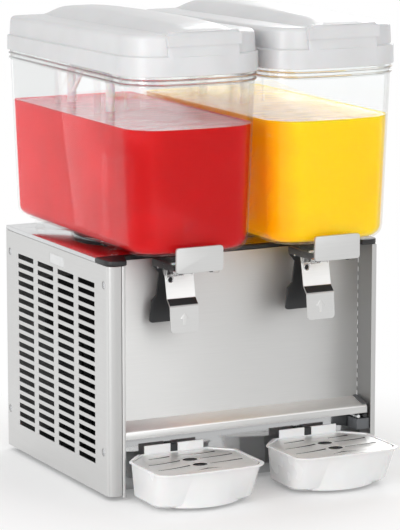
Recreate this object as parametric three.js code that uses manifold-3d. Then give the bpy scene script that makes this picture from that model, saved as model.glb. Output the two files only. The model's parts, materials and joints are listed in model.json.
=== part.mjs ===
// Twin bowl cold juice dispenser, millimetres, +Z up.
// X runs across the front, Y runs from the front to the back, the floor is at Z zero.
// The model is drawn with Y zero at the front of the corner posts and then moved as a
// whole, so that its origin is the middle of its footprint.
import * as THREE from 'three';
import { mergeVertices } from 'three/addons/utils/BufferGeometryUtils.js';
import Module from 'manifold-3d';

const wasm = await Module();
wasm.setup();

// Shared fits
const fitGap = 0.3;
const cutOver = 2;
const leastFoldShare = 0.3;

// Cabinet
const bodyWidth = 410;
const bodyDepth = 340;
const bodyHeight = 317;
const sheet = 1.5;
const cornerRadius = 10.5;
const leftPostWidth = 19;
const rightPostWidth = 11.5;
const footHeight = 6;
const footReach = 4;
const footRadius = 13;
const footInset = 32;
const panFloor = 2;
const panWall = 18;
const stripWidth = 5;
const stripDepth = 8;
const stripGroove = 1;
const stripDrop = 2;

// Front of the cabinet
const frontSetback = 38;
const lowerSetback = 29;
const creaseHeight = 92;
const lipTop = 86;
const lipBottom = 74.7;
const lipReach = 35.4;
const lipEndGap = 3.5;
const noseRadius = 2.5;

// Side vents
const slotRows = 20;
const slotColumns = 4;
const slotWeb = 14.2;
const slotHeight = 6.9;
const slotFrontMargin = 44;
const slotBackMargin = 41.4;
const slotTopMargin = 34.3;
const slotBottomMargin = 37.35;

// Back panel
const backInset = 1.5;
const fanHoleRadius = 62;
const fanHoleZ = 120;
const guardRings = 3;
const guardOpenShare = 0.62;
const guardBar = 10;
const louvreRows = 7;
const louvreLength = 78;
const louvreHeight = 6;
const louvrePitch = 14;
const louvreInset = 100;
const louvreBottom = 60;

// Deck
const deckThickness = 6;
const deckTurnDown = 12;
const deckHoleRadius = 6;
const trimWidth = 4;
const trimHeight = 7;
const trimCorner = 14;
const capWidth = 27;

// Bowls
const bowlGap = 3;
const jarGap = 11;
const jarHeight = 246;
const jarFront = -64.6;
const jarOverhang = 6.6;
const jarFrontRadius = 43;
const jarBackRadius = 18.6;
const jarBow = 12;
const jarDraft = 10;
const jarWall = 3;
const leastCornerShare = 0.08;
const frontPointShares = [-0.7, 0, 0.7];
const jarFloorRadius = 18;
const rimHeight = 10;
const rimReach = 0.6;
const ribHeight = 3;
const ribGap = 3.2;
const ribReach = 2.2;
const footSpoolRadius = 7;
const footSpoolWaist = 4.6;
const footSpoolInset = 25.6;
const footSpoolFront = 52;
const footSpoolBackInset = 56.6;

// Lids
const lidReach = 3.4;
const lidOverlap = 8;
const lidFlange = 14.5;
const lidStep = 3.5;
const lidHeight = 46;
const lidShoulder = 15;
const lidWall = 2.4;
const lidSeat = 4;
const humpSideInset = 45;
const humpSlope = 4;
const humpHeight = 20;
const humpFrontHeight = 13;
const humpApexInset = 91.6;
const humpBackInset = 6;
const humpEdge = 5;

// Cooling dome and mixer
const domeSetback = 142.5;
const domeRadius = 50;
const domeHeight = 128;
const domeCrown = 11;
const domeFlangeRadius = 51.5;
const domeFlange = 2.5;
const sealWidth = 7;
const sealHeight = 9;
const sealLip = 2.4;
const collarWall = 4;
const impellerRadius = 26;
const impellerHeight = 9;
const impellerHub = 9;
const impellerBlades = 6;
const impellerBladeThickness = 3;
const axleRadius = 3;
const impellerCap = 2;
const axleStep = 2;
const tubeRadius = 6.3;
const tubeBore = 4.3;
const tubeOffset = 27;
const tubeAhead = 44;
const tubeBehind = 83;
const tubeTopDrop = 27;
const tubeRoom = 6;
const tubeBend = 16;
const tubeBrace = 3;
const braceReach = 26;

// Taps
const tapOffset = -6;
const outletY = -44;
const outletRadius = 11;
const outletBore = 9;
const outletLip = 6.2;
const outletDrop = 19;
const outletLipHeight = 2;
const plungerRadius = 8.3;
const plungerHeight = 66;
const plungerDome = 3;
const crossPinRadius = 1.5;
const crossPinReach = 25;
const crossPinDrop = 11.2;
const slotRoom = 1;
const leverSwing = 8;
const pivotAhead = 20;
const pivotDrop = 18.5;
const pivotPinRadius = 2;
const pivotPinReach = 33;
const cheekReach = 31;
const cheekThickness = 3;
const cheekEye = 5.5;
const cheekBack = 20;
const cheekBackLow = 13;
const cheekDrop = 29;
const cheekTopBack = 9;
const armReach = 24;
const armThickness = 3.4;
const pinRest = 0.4;
const armHeight = 10;
const armEye = 4;
const paddleSetback = 20;
const paddleThickness = 3.4;
const neckDrop = 34;
const neckHalf = 15;
const hipDrop = 63;
const hipHalf = 19;
const shoulderDrop = 70;
const shoulderHalf = 26;
const paddleDrop = 100;
const paddleHalf = 29;
const paddleCorner = 4;
const plateHalf = 21;
const plateSheet = 1.2;
const plateTopBack = 30;
const plateTopDrop = 31;
const plateStepBack = 23.5;
const plateStepDrop = 64;
const plateLedgeBack = 15.5;
const plateLedgeDrop = 71;
const plateLowBack = 11.5;
const plateLowDrop = 107;
const plateBend = 1.6;
const plateCorner = 5;
const earHeight = 13;
const earLength = 13;
const earThickness = 1.2;
const springWire = 0.75;
const springStart = -19;
const springEnd = -6.5;
const springTurns = 6;
const springStepsPerTurn = 8;
const springSides = 5;
const springLeg = 16;
const coverWidth = 68;
const coverHeight = 33.5;
const coverDrop = 19;
const coverAhead = 32;
const coverSheet = 1.2;
const coverRim = 4;
const coverCorner = 4;
const clipHeight = 4;
const clipThickness = 1.6;
const clipTongue = 12;

// Drip trays
const trayGap = 51;
const trayFront = -104;
const trayShoulderY = -14;
const trayBackInset = 18;
const trayBack = 13;
const trayRimZ = 56;
const trayBottomZ = 5;
const trayBow = 4;
const trayCorner = 17;
const traySideTaper = 5;
const trayFrontTaper = 20;
const trayBackTaper = 3;
const trayBackCorner = 9;
const bowPointShare = 0.4;
const bellyHalf = 46;
const bellySetback = 5;
const trayWall = 2.2;
const trayRoll = 4.4;
const trayRim = 3;
const trayRimThickness = 2.6;
const tabInset = 15;
const tabGap = 11;
const tabHeight = 11;
const tabThickness = 2.4;
const catchHalf = 20;
const catchHeight = 6;
const catchGap = 0.4;
const tongueRise = 13;
const grateInset = 2.6;
const grateDrop = 1.2;
const grateSheet = 1.5;
const grateLedge = 3.4;
const ovalRadius = 10.5;
const ovalShort = 8;
const ovalGap = 4.5;
const ovalBackY = -34;
const ovalFrontY = -64;
const slotWide = 4;
const slotEndInset = 12.4;
const slotSag = 7;
const slotTip = 1.6;
const backSlotY = -11;
const backSlotShares = [0.3, 0.85];
const wingHalf = 20;
const wingRise = 4;
const wingFront = 13;

// Machinery inside the cabinet
const compressorX = 95;
const compressorSetback = 130;
const compressorRadius = 62;
const compressorHeight = 150;
const compressorFoot = 12;
const potShoulder = 18;
const potCrown = 37;
const potCrownDrop = 6;
const footPlateHalf = 43;
const footLegY = 31;
const footLegRadius = 8;
const condenserX = -70;
const condenserWidth = 150;
const condenserHeight = 170;
const condenserThickness = 40;
const finCount = 10;
const finGap = 4;
const finMargin = 8;
const finWeb = 4;
const shroudThickness = 2;
const shroudDepth = 26;
const shroudSetback = 34.2;
const shroudRing = 60;
const shroudBar = 9;
const fanHub = 16;
const fanTip = 55;
const fanBlades = 5;
const fanDepth = 14;
const bladeThickness = 2.4;
const bladeHalf = 15;
const bladeRootShare = 0.55;
const bladeRootDegrees = 42;
const bladeTipDegrees = 24;
const fanMotorRadius = 24;
const fanMotorLength = 13.5;
const fanShaftRadius = 4;
const fanShaftReach = 13;
const hubGap = 1;
const mixerMotorRadius = 30;
const mixerMotorHeight = 48;
const glandInset = 55;
const glandRise = 34;
const glandRadius = 10;
const glandNeck = 7;
const glandNose = 7.5;
const glandTip = 5.5;
const glandReach = 9;
const glandBore = 4;
const switchInset = 145;
const switchPitch = 34;
const switchDrop = 35;
const switchWide = 14;
const switchTall = 22;
const switchThick = 11;
const switchProud = 1.6;
const switchRock = 1.4;
const rockerTailShare = 0.6;
const bezelWide = 2;
const bezelMargin = 4;
const bezelCorner = 3;
const bezelProud = 1.2;
const knobOffset = 120;
const knobRadius = 13;
const knobDepth = 12;
const knobGrip = 1.2;
const knobGrips = 10;
const knobGripShares = [0.5, 0.64, 0.86];
const knobPointerLow = 4;
const knobPointerHigh = 11;
const knobShaft = 3;

// Levels and places that follow from the sizes above
const half = bodyWidth / 2;
const bodyBottom = footHeight;
const deckTop = bodyBottom + bodyHeight;
const deckUnder = deckTop - deckThickness;
const wallTop = deckUnder - fitGap;
const backY = bodyDepth - backInset;
const innerHalf = half - sheet - fitGap;

const slotSpan = bodyDepth - slotFrontMargin - slotBackMargin;
const slotLength = (slotSpan - (slotColumns - 1) * slotWeb) / slotColumns;
const slotPitchY = slotLength + slotWeb;
const slotPitchZ = (bodyHeight - slotTopMargin - slotBottomMargin - slotHeight) / (slotRows - 1);

const bowlPitch = half;
const lidHalfWidth = (bowlPitch - bowlGap) / 2;
const jarHalfWidth = lidHalfWidth - lidReach;
const jarBack = bodyDepth + jarOverhang;
const jarBottom = deckTop + jarGap;
const rimTop = jarBottom + jarHeight;
const lidBottom = rimTop - lidOverlap;
const lidTop = lidBottom + lidHeight;
const lidFront = jarFront - lidReach;
const lidBack = jarBack + lidReach;
const humpHalfWidth = lidHalfWidth - humpSideInset;
const humpApexY = jarBack - humpApexInset;

const domeY = backY - domeSetback;
const domeTop = deckTop + fitGap + domeHeight;
const impellerLow = domeTop + axleStep + fitGap;
const axleTop = impellerLow + impellerHeight - impellerCap - fitGap;
const collarBore = domeRadius + sealWidth + 2 * fitGap;
const tubeFrontY = domeY - tubeAhead;
const tubeBackY = domeY + tubeBehind;
const tubeTop = rimTop - tubeTopDrop;

const crossPinHeight = jarBottom - crossPinDrop;
const pivotY = outletY - pivotAhead;
const pivotZ = jarBottom - pivotDrop;
const pinLift = pivotAhead * Math.sin(THREE.MathUtils.degToRad(leverSwing));
const armTop = crossPinHeight - crossPinRadius - pinRest;
const paddleY = frontSetback - paddleSetback;
const coverY = outletY - coverAhead;
const coverBottom = jarBottom - coverDrop;

const trayHalf = (bowlPitch - trayGap) / 2;
const trayBackHalf = trayHalf - trayBackInset;
const tabWidth = trayBackHalf - tabInset - tabGap / 2;

const shroudY1 = backY - shroudSetback;
const shroudY0 = shroudY1 - shroudDepth;
const condenserY = shroudY0 - fitGap - condenserThickness / 2;
const compressorY = bodyDepth - compressorSetback;
const fanHoleX = condenserX;
const fanZ = bodyBottom + fanHoleZ;
const louvreX = half - louvreInset;
const glandX = half - glandInset;
const glandZ = bodyBottom + glandRise;
const switchX = half - switchInset;
const switchZ = bodyBottom + bodyHeight - switchDrop;
const knobX = switchX - knobOffset;

const frontReach = trayFront - trayBow - trayRim;
const knobEnd = backY + fitGap + bezelProud + knobDepth + knobGrip / 2;
const middleY = (frontReach + Math.max(lidBack, knobEnd)) / 2;

// Materials
function finish(color, roughness, metalness = 0) {
  return new THREE.MeshStandardMaterial({ color, roughness, metalness });
}
const brushedSteel = finish('#c9cacb', 0.35, 1);
const polishedSteel = finish('#d4d5d6', 0.12, 1);
const darkSteel = finish('#6d7072', 0.5, 1);
const clearPlastic = finish('#e4ecee', 0.05);
clearPlastic.transparent = true;
clearPlastic.opacity = 0.35;
const lidPlastic = finish('#e2e3e4', 0.4);
const whitePlastic = finish('#f1f1ef', 0.35);
const blackPlastic = finish('#1c1d1f', 0.45);
const blackRubber = finish('#17181a', 0.8);
const blackPaint = finish('#222426', 0.5, 0.2);
const aluminium = finish('#b4b8bb', 0.45, 1);

const dispenser = new THREE.Group();
const origin = new THREE.Group();
origin.position.set(0, -middleY, 0);
dispenser.add(origin);

function add(name, geometry, material) {
  const mesh = new THREE.Mesh(geometry, material);
  mesh.name = name;
  origin.add(mesh);
  return mesh;
}

// Closed meshes to solids and back
function solidOf(geometry) {
  const bare = geometry.index ? geometry.toNonIndexed() : geometry.clone();
  bare.deleteAttribute('normal');
  bare.deleteAttribute('uv');
  const merged = mergeVertices(bare, 1e-4);
  const vertProperties = new Float32Array(merged.attributes.position.array);
  const triVerts = new Uint32Array(merged.index.array);
  return new wasm.Manifold(new wasm.Mesh({ numProp: 3, vertProperties, triVerts }));
}

function geometryOf(solid) {
  const mesh = solid.getMesh();
  const geometry = new THREE.BufferGeometry();
  geometry.setAttribute('position', new THREE.BufferAttribute(mesh.vertProperties, 3));
  geometry.setIndex(new THREE.BufferAttribute(mesh.triVerts, 1));
  return geometry;
}

function union(...geometries) {
  return geometries.map(solidOf).reduce((whole, piece) => whole.add(piece));
}

function cut(solid, ...geometries) {
  return geometries.reduce((rest, tool) => rest.subtract(solidOf(tool)), solid);
}

// Basic shapes, each in its place
function box(x0, x1, y0, y1, z0, z1) {
  const geometry = new THREE.BoxGeometry(x1 - x0, y1 - y0, z1 - z0);
  return geometry.translate((x0 + x1) / 2, (y0 + y1) / 2, (z0 + z1) / 2);
}

function post(x, y, z0, z1, radius, sides = 20, topRadius = radius) {
  const geometry = new THREE.CylinderGeometry(topRadius, radius, z1 - z0, sides);
  geometry.rotateX(Math.PI / 2);
  return geometry.translate(x, y, (z0 + z1) / 2);
}

function rodX(x0, x1, y, z, radius, sides = 12) {
  const geometry = new THREE.CylinderGeometry(radius, radius, x1 - x0, sides);
  geometry.rotateZ(Math.PI / 2);
  return geometry.translate((x0 + x1) / 2, y, z);
}

function rodY(x, y0, y1, z, radius, sides = 20, backRadius = radius) {
  const geometry = new THREE.CylinderGeometry(backRadius, radius, y1 - y0, sides);
  return geometry.translate(x, (y0 + y1) / 2, z);
}

function lathe(x, y, profile, sides = 32) {
  const points = profile.map(([r, z]) => new THREE.Vector2(r, z));
  const geometry = new THREE.LatheGeometry(points, sides);
  geometry.rotateX(Math.PI / 2);
  return geometry.translate(x, y, 0);
}

function shapeOf(points) {
  return new THREE.Shape(points.map(([a, b]) => new THREE.Vector2(a, b)));
}

// A flat outline in X and Y, raised from z0 to z1
function slab(points, z0, z1, holes = []) {
  const shape = shapeOf(points);
  for (const hole of holes) shape.holes.push(shapeOf(hole));
  const settings = { depth: z1 - z0, bevelEnabled: false };
  return new THREE.ExtrudeGeometry(shape, settings).translate(0, 0, z0);
}

// A side outline in Y and Z, drawn out from x0 to x1
function sideSlab(points, x0, x1) {
  const settings = { depth: x1 - x0, bevelEnabled: false };
  const geometry = new THREE.ExtrudeGeometry(shapeOf(points), settings);
  const turn = new THREE.Matrix4();
  turn.makeBasis(new THREE.Vector3(0, 1, 0), new THREE.Vector3(0, 0, 1), new THREE.Vector3(1, 0, 0));
  return geometry.applyMatrix4(turn).translate(x0, 0, 0);
}

// A front outline in X and Z, drawn back from y0 to y1
function frontSlab(points, y0, y1, holes = []) {
  const shape = shapeOf(points);
  for (const hole of holes) shape.holes.push(shapeOf(hole));
  const geometry = new THREE.ExtrudeGeometry(shape, { depth: y1 - y0, bevelEnabled: false });
  return geometry.rotateX(Math.PI / 2).translate(0, y1, 0);
}

function arc(cx, cy, radius, startDegrees, endDegrees, steps) {
  const points = [];
  for (let i = 0; i <= steps; i++) {
    const angle = THREE.MathUtils.degToRad(startDegrees + ((endDegrees - startDegrees) * i) / steps);
    points.push([cx + radius * Math.cos(angle), cy + radius * Math.sin(angle)]);
  }
  return points;
}

function circle(cx, cy, radius, steps) {
  return arc(cx, cy, radius, 0, 360, steps).slice(0, -1);
}

function roundedBox(x0, x1, y0, y1, radius, steps = 4) {
  return [
    ...arc(x1 - radius, y0 + radius, radius, -90, 0, steps),
    ...arc(x1 - radius, y1 - radius, radius, 0, 90, steps),
    ...arc(x0 + radius, y1 - radius, radius, 90, 180, steps),
    ...arc(x0 + radius, y0 + radius, radius, 180, 270, steps),
  ];
}

// A bent sheet: a path and the same path moved sideways by the sheet's thickness
function bentSheet(path, thickness) {
  const moved = path.map((point, i) => {
    const before = path[Math.max(i - 1, 0)];
    const after = path[Math.min(i + 1, path.length - 1)];
    const a = new THREE.Vector2(point[0] - before[0], point[1] - before[1]).normalize();
    const b = new THREE.Vector2(after[0] - point[0], after[1] - point[1]).normalize();
    if (i === 0) a.copy(b);
    if (i === path.length - 1) b.copy(a);
    const normal = new THREE.Vector2(-(a.y + b.y), a.x + b.x).normalize();
    const stretch = thickness / Math.max(normal.dot(new THREE.Vector2(-a.y, a.x)), leastFoldShare);
    return [point[0] + normal.x * stretch, point[1] + normal.y * stretch];
  });
  return [...path, ...moved.reverse()];
}

// Rings of equal count skinned into one closed body, capped at both ends
function skin(rings) {
  const count = rings[0].length;
  const positions = rings.flat().flatMap((p) => [p.x, p.y, p.z]);
  const index = [];
  for (let r = 0; r < rings.length - 1; r++) {
    for (let i = 0; i < count; i++) {
      const a = r * count + i;
      const b = r * count + ((i + 1) % count);
      index.push(a, b, b + count, a, b + count, a + count);
    }
  }
  const flat = (ring) => ring.map((p) => new THREE.Vector2(p.x, p.y));
  const ends = [[0, false, rings[0]], [(rings.length - 1) * count, true, rings.at(-1)]];
  for (const [first, last, ring] of ends) {
    for (const [a, b, c] of THREE.ShapeUtils.triangulateShape(flat(ring), [])) {
      index.push(...(last ? [first + a, first + b, first + c] : [first + a, first + c, first + b]));
    }
  }
  const geometry = new THREE.BufferGeometry();
  geometry.setAttribute('position', new THREE.Float32BufferAttribute(positions, 3));
  geometry.setIndex(index);
  return geometry;
}

// The bowl's plan: a long rounded box whose front wall bows forward
function bowlPlan(x, inset, size) {
  const { halfWidth, front, back, frontRadius, backRadius, bow } = size;
  const w = halfWidth - inset;
  const y0 = front + inset;
  const y1 = back - inset;
  const rf = Math.max(frontRadius - inset, w * leastCornerShare);
  const rb = Math.max(backRadius - inset, w * leastCornerShare);
  const points = [
    ...arc(x - w + rf, y0 + rf, rf, 180, 270, 5),
    ...arc(x + w - rf, y0 + rf, rf, 270, 360, 5),
    ...arc(x + w - rb, y1 - rb, rb, 0, 90, 3),
    ...arc(x - w + rb, y1 - rb, rb, 90, 180, 3),
  ];
  const middle = frontPointShares.map((share) => [x + share * (w - rf), y0]);
  points.splice(6, 0, ...middle);
  return points.map(([px, py]) => {
    const share = (px - x) / w;
    const reach = py < y0 + rf ? bow * (1 - share * share) : 0;
    const fade = py < y0 + rf ? Math.min(1, (y0 + rf - py) / rf) : 0;
    return [px, py - reach * fade];
  });
}

function ring(plan, z) {
  return plan.map(([x, y]) => new THREE.Vector3(x, y, z));
}

// Feet: four rubber pucks pressed against the pan from below
function foot(x, y) {
  const top = bodyBottom + footReach;
  return lathe(x, y, [
    [0, 0],
    [footRadius - footReach / 2, 0],
    [footRadius, footReach / 2],
    [footRadius, bodyBottom - fitGap],
    [footRadius / 2, bodyBottom - fitGap],
    [footRadius / 2, top],
    [0, top],
  ], 14);
}

const footPlaces = [
  ['front_left_foot', -half + footInset, frontSetback + footInset],
  ['front_right_foot', half - footInset, frontSetback + footInset],
  ['back_left_foot', -half + footInset, bodyDepth - footInset],
  ['back_right_foot', half - footInset, bodyDepth - footInset],
];
for (const [name, x, y] of footPlaces) add(name, foot(x, y), blackRubber);

// Base pan: a shallow steel tray that carries the machinery
function basePan() {
  const x1 = innerHalf;
  const y0 = frontSetback + fitGap;
  const y1 = backY - sheet - fitGap;
  const outer = box(-x1, x1, y0, y1, bodyBottom, bodyBottom + panWall);
  const inner = box(-x1 + sheet, x1 - sheet, y0 + sheet, y1 - sheet, bodyBottom + panFloor,
    bodyBottom + panWall + cutOver);
  const sockets = footPlaces.map(([, x, y]) => post(x, y, bodyBottom - cutOver,
    bodyBottom + panFloor + cutOver, footRadius / 2 + fitGap, 14));
  return geometryOf(cut(solidOf(outer), inner, ...sockets));
}
add('base_pan', basePan(), darkSteel);

// Side panels: one sheet bent round the front corner, with the air slots cut through
function sidePanel(side, postWidth) {
  const outside = side * half;
  const path = [
    [outside, bodyDepth],
    ...arc(outside - side * cornerRadius, cornerRadius, cornerRadius, side > 0 ? 0 : 180,
      side > 0 ? -90 : 270, 6),
    [outside - side * postWidth, 0],
    [outside - side * postWidth, frontSetback - fitGap],
  ];
  const blank = slab(bentSheet(path, -side * sheet), bodyBottom, wallTop);
  const slots = [];
  for (let column = 0; column < slotColumns; column++) {
    const y = slotFrontMargin + column * slotPitchY;
    for (let row = 0; row < slotRows; row++) {
      const top = bodyBottom + bodyHeight - slotTopMargin - row * slotPitchZ;
      slots.push(box(outside - sheet - cutOver, outside + sheet + cutOver, y, y + slotLength,
        top - slotHeight, top));
    }
  }
  const grid = slots.map(solidOf).reduce((all, slot) => all.add(slot));
  return geometryOf(solidOf(blank).subtract(grid));
}
add('left_side_panel', sidePanel(-1, leftPostWidth), brushedSteel);
add('right_side_panel', sidePanel(1, rightPostWidth), brushedSteel);

// Edge strip beside the left post
const stripX = -half + leftPostWidth + stripGroove;
add('front_edge_strip', slab(roundedBox(stripX, stripX + stripWidth, 0, stripDepth, stripWidth / 3, 3),
  bodyBottom - stripDrop, wallTop), brushedSteel);

// Front panel: flat sheet, crease, sloping lip and turned nose
function frontPanel() {
  const crease = bodyBottom + creaseHeight;
  const nose = frontSetback - lipReach;
  const path = [
    [frontSetback, wallTop],
    [frontSetback, crease],
    [nose + noseRadius, bodyBottom + lipTop],
    [nose, bodyBottom + lipTop - noseRadius],
    [nose, bodyBottom + lipBottom],
    [lowerSetback - fitGap, bodyBottom + lipBottom],
  ];
  const x0 = -half + leftPostWidth + fitGap;
  const x1 = half - rightPostWidth - fitGap;
  const panel = solidOf(sideSlab(bentSheet(path, sheet), x0, x1));
  const top = crease - sheet;
  const leftEnd = box(x0 - cutOver, stripX + stripWidth + fitGap, nose - cutOver, frontSetback - fitGap,
    bodyBottom, top + sheet);
  const rightEnd = box(x1 - lipEndGap, x1 + cutOver, nose - cutOver, frontSetback - fitGap, bodyBottom,
    top + sheet);
  return geometryOf(cut(panel, leftEnd, rightEnd));
}
add('front_panel', frontPanel(), brushedSteel);

// Lower front panel, mirror polished, tucked up behind the lip
function lowerPanel() {
  const x0 = -half + leftPostWidth + fitGap;
  const x1 = half - rightPostWidth - fitGap;
  const top = bodyBottom + lipBottom + sheet + cutOver;
  return box(x0, x1, lowerSetback, lowerSetback + sheet, bodyBottom, top);
}
add('lower_front_panel', lowerPanel(), polishedSteel);

// Back panel with the fan's guard rings, louvres, gland hole and switch holes
const switchPlaces = [
  ['main_switch', switchX],
  ['left_mixer_switch', switchX + switchPitch],
  ['right_mixer_switch', switchX + 2 * switchPitch],
];

function backPanel() {
  const plate = solidOf(box(-innerHalf, innerHalf, backY - sheet, backY, bodyBottom, wallTop));
  const y0 = backY - sheet - cutOver;
  const y1 = backY + cutOver;
  const tools = [];
  const pitch = fanHoleRadius / guardRings;
  for (let i = 1; i <= guardRings; i++) {
    const open = circle(fanHoleX, fanZ, i * pitch, 18);
    const web = circle(fanHoleX, fanZ, (i - guardOpenShare) * pitch, 18);
    let ringTool = solidOf(frontSlab(open, y0, y1, [web]));
    for (const turn of [0, 1, 2]) {
      const bar = new THREE.BoxGeometry(2 * (fanHoleRadius + cutOver), (y1 - y0) * 2, guardBar);
      bar.rotateY((turn * Math.PI) / 3 + Math.PI / 6);
      bar.translate(fanHoleX, backY, fanZ);
      ringTool = ringTool.subtract(solidOf(bar));
    }
    tools.push(ringTool);
  }
  for (let row = 0; row < louvreRows; row++) {
    const z = bodyBottom + louvreBottom + row * louvrePitch;
    const x0 = louvreX - louvreLength / 2;
    tools.push(solidOf(box(x0, x0 + louvreLength, y0, y1, z, z + louvreHeight)));
  }
  tools.push(solidOf(rodY(glandX, y0, y1, glandZ, glandNeck + fitGap, 12)));
  tools.push(solidOf(rodY(knobX, y0, y1, switchZ, knobShaft + fitGap, 16)));
  for (const [, x] of switchPlaces) {
    const wide = switchWide / 2 + fitGap;
    const tall = switchTall / 2 + fitGap;
    tools.push(solidOf(box(x - wide, x + wide, y0, y1, switchZ - tall, switchZ + tall)));
  }
  return geometryOf(tools.reduce((rest, tool) => rest.subtract(tool), plate));
}
add('back_panel', backPanel(), brushedSteel);

// Deck: polished top pan with its edge turned down inside the side panels
const bowlSides = [['left', -bowlPitch / 2], ['right', bowlPitch / 2]];

function topDeck() {
  const front = frontSetback + trimWidth + fitGap;
  const plate = box(-half, half, front, bodyDepth, deckUnder, deckTop);
  const y0 = front + sheet;
  const y1 = backY - sheet - fitGap;
  const low = deckUnder - deckTurnDown;
  const skirtOuter = box(-innerHalf, innerHalf, y0, y1, low, deckUnder + cutOver);
  const skirtInner = box(-innerHalf + sheet, innerHalf - sheet, y0 + sheet, y1 - sheet, low - cutOver,
    deckUnder);
  const holes = bowlSides.map(([, x]) => post(x, domeY, deckUnder - cutOver, deckTop + cutOver,
    deckHoleRadius, 16));
  const skirt = cut(solidOf(skirtOuter), skirtInner);
  return geometryOf(cut(solidOf(plate).add(skirt), ...holes));
}
add('top_deck', topDeck(), polishedSteel);

// Black trim along the deck's front edge with a rounded cap over each post
function deckTrim() {
  const z0 = deckUnder;
  const z1 = z0 + trimHeight;
  const back = frontSetback + trimWidth;
  const plan = [
    ...arc(-half + trimCorner, trimCorner, trimCorner, 180, 270, 5),
    [-half + capWidth, 0],
    [-half + capWidth + trimCorner, frontSetback],
    [half - capWidth - trimCorner, frontSetback],
    [half - capWidth, 0],
    ...arc(half - trimCorner, trimCorner, trimCorner, -90, 0, 5),
    [half, back],
    [-half, back],
  ];
  return slab(plan, z0, z1);
}
add('deck_trim', deckTrim(), blackPlastic);

// Compressor: welded steel pot on a footed plate
function compressor() {
  const z0 = bodyBottom + panFloor + fitGap;
  const top = z0 + compressorHeight;
  const pot = lathe(compressorX, compressorY, [
    [0, z0 + compressorFoot],
    [compressorRadius - potShoulder, z0 + compressorFoot],
    [compressorRadius, z0 + compressorFoot + potShoulder],
    [compressorRadius, top - potShoulder],
    [(compressorRadius + potCrown) / 2, top - potCrownDrop],
    [potCrown, top],
    [0, top],
  ], 18);
  const x0 = compressorX - compressorRadius;
  const x1 = compressorX + compressorRadius;
  const plate = box(x0, x1, compressorY - footPlateHalf, compressorY + footPlateHalf,
    z0 + compressorFoot - panFloor, z0 + compressorFoot + panFloor);
  const legs = [];
  for (const x of [x0 + footRadius, x1 - footRadius]) {
    for (const y of [compressorY - footLegY, compressorY + footLegY]) {
      legs.push(post(x, y, z0, z0 + compressorFoot, footLegRadius, 8));
    }
  }
  return geometryOf(union(pot, plate, ...legs));
}
add('compressor', compressor(), blackPaint);

// Condenser: a finned block standing on the pan
function condenser() {
  const z0 = bodyBottom + panFloor + fitGap;
  const z1 = z0 + condenserHeight;
  const x0 = condenserX - condenserWidth / 2;
  const x1 = condenserX + condenserWidth / 2;
  const y0 = condenserY - condenserThickness / 2;
  const y1 = condenserY + condenserThickness / 2;
  const pitch = (condenserWidth - 2 * finWeb) / finCount;
  const tools = [];
  for (let i = 0; i < finCount; i++) {
    const x = x0 + finWeb + (i + 1 / 2) * pitch;
    for (const [a, b] of [[y0 - cutOver, condenserY - finWeb], [condenserY + finWeb, y1 + cutOver]]) {
      tools.push(box(x - finGap / 2, x + finGap / 2, a, b, z0 + finMargin, z1 - finMargin));
    }
  }
  return geometryOf(cut(solidOf(box(x0, x1, y0, y1, z0, z1)), ...tools));
}
add('condenser', condenser(), aluminium);

// Fan: shroud, motor and blades on the condenser's back, facing the guard
function fanShroud() {
  const x0 = fanHoleX - condenserWidth / 2;
  const x1 = fanHoleX + condenserWidth / 2;
  const z0 = bodyBottom + panFloor + fitGap;
  const z1 = z0 + condenserHeight;
  const boxOuter = box(x0, x1, shroudY0, shroudY1, z0, z1);
  const inner = box(x0 + shroudThickness, x1 - shroudThickness, shroudY0 - cutOver,
    shroudY1 - shroudThickness, z0 + shroudThickness, z1 - shroudThickness);
  const mouth = rodY(fanHoleX, shroudY0, shroudY1 + cutOver, fanZ, shroudRing, 32);
  const bar = box(x0 + shroudThickness / 2, x1 - shroudThickness / 2, shroudY0, shroudY0 + shroudThickness,
    fanZ - shroudBar / 2, fanZ + shroudBar / 2);
  return geometryOf(cut(solidOf(boxOuter), inner, mouth).add(solidOf(bar)));
}
add('fan_shroud', fanShroud(), blackPaint);

const motorY0 = shroudY0 + shroudThickness + fitGap;
const motorY1 = motorY0 + fanMotorLength;
const hubY0 = motorY1 + hubGap;
add('fan_motor', geometryOf(union(
  rodY(fanHoleX, motorY0, motorY1, fanZ, fanMotorRadius),
  rodY(fanHoleX, motorY1 - hubGap, hubY0 + fanShaftReach, fanZ, fanShaftRadius, 12),
)), blackPaint);

function fanWheel() {
  const hubY1 = hubY0 + fanDepth;
  const hub = rodY(fanHoleX, hubY0, hubY1, fanZ, fanHub);
  const blades = [];
  for (let i = 0; i < fanBlades; i++) {
    const length = fanTip - fanHub + cutOver;
    const blade = new THREE.BoxGeometry(length, bladeThickness, 2 * bladeHalf, 2, 1, 1);
    const place = blade.attributes.position;
    for (let v = 0; v < place.count; v++) {
      const share = (place.getX(v) + length / 2) / length;
      const degrees = THREE.MathUtils.lerp(bladeRootDegrees, bladeTipDegrees, share);
      const pitch = THREE.MathUtils.degToRad(degrees);
      const y = place.getY(v);
      const z = place.getZ(v) * THREE.MathUtils.lerp(bladeRootShare, 1, share);
      place.setY(v, y * Math.cos(pitch) - z * Math.sin(pitch) * bladeRootShare);
      place.setZ(v, y * Math.sin(pitch) + z * Math.cos(pitch));
    }
    blade.translate(fanHub + length / 2 - cutOver, 0, 0);
    blade.rotateY((i * 2 * Math.PI) / fanBlades);
    blade.translate(fanHoleX, (hubY0 + hubY1) / 2, fanZ);
    blades.push(blade);
  }
  const bore = rodY(fanHoleX, hubY0 - cutOver, hubY0 + fanShaftReach + fitGap, fanZ,
    fanShaftRadius + fitGap, 12);
  return geometryOf(cut(union(hub, ...blades), bore));
}
add('fan_blades', fanWheel(), blackPlastic);

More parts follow.
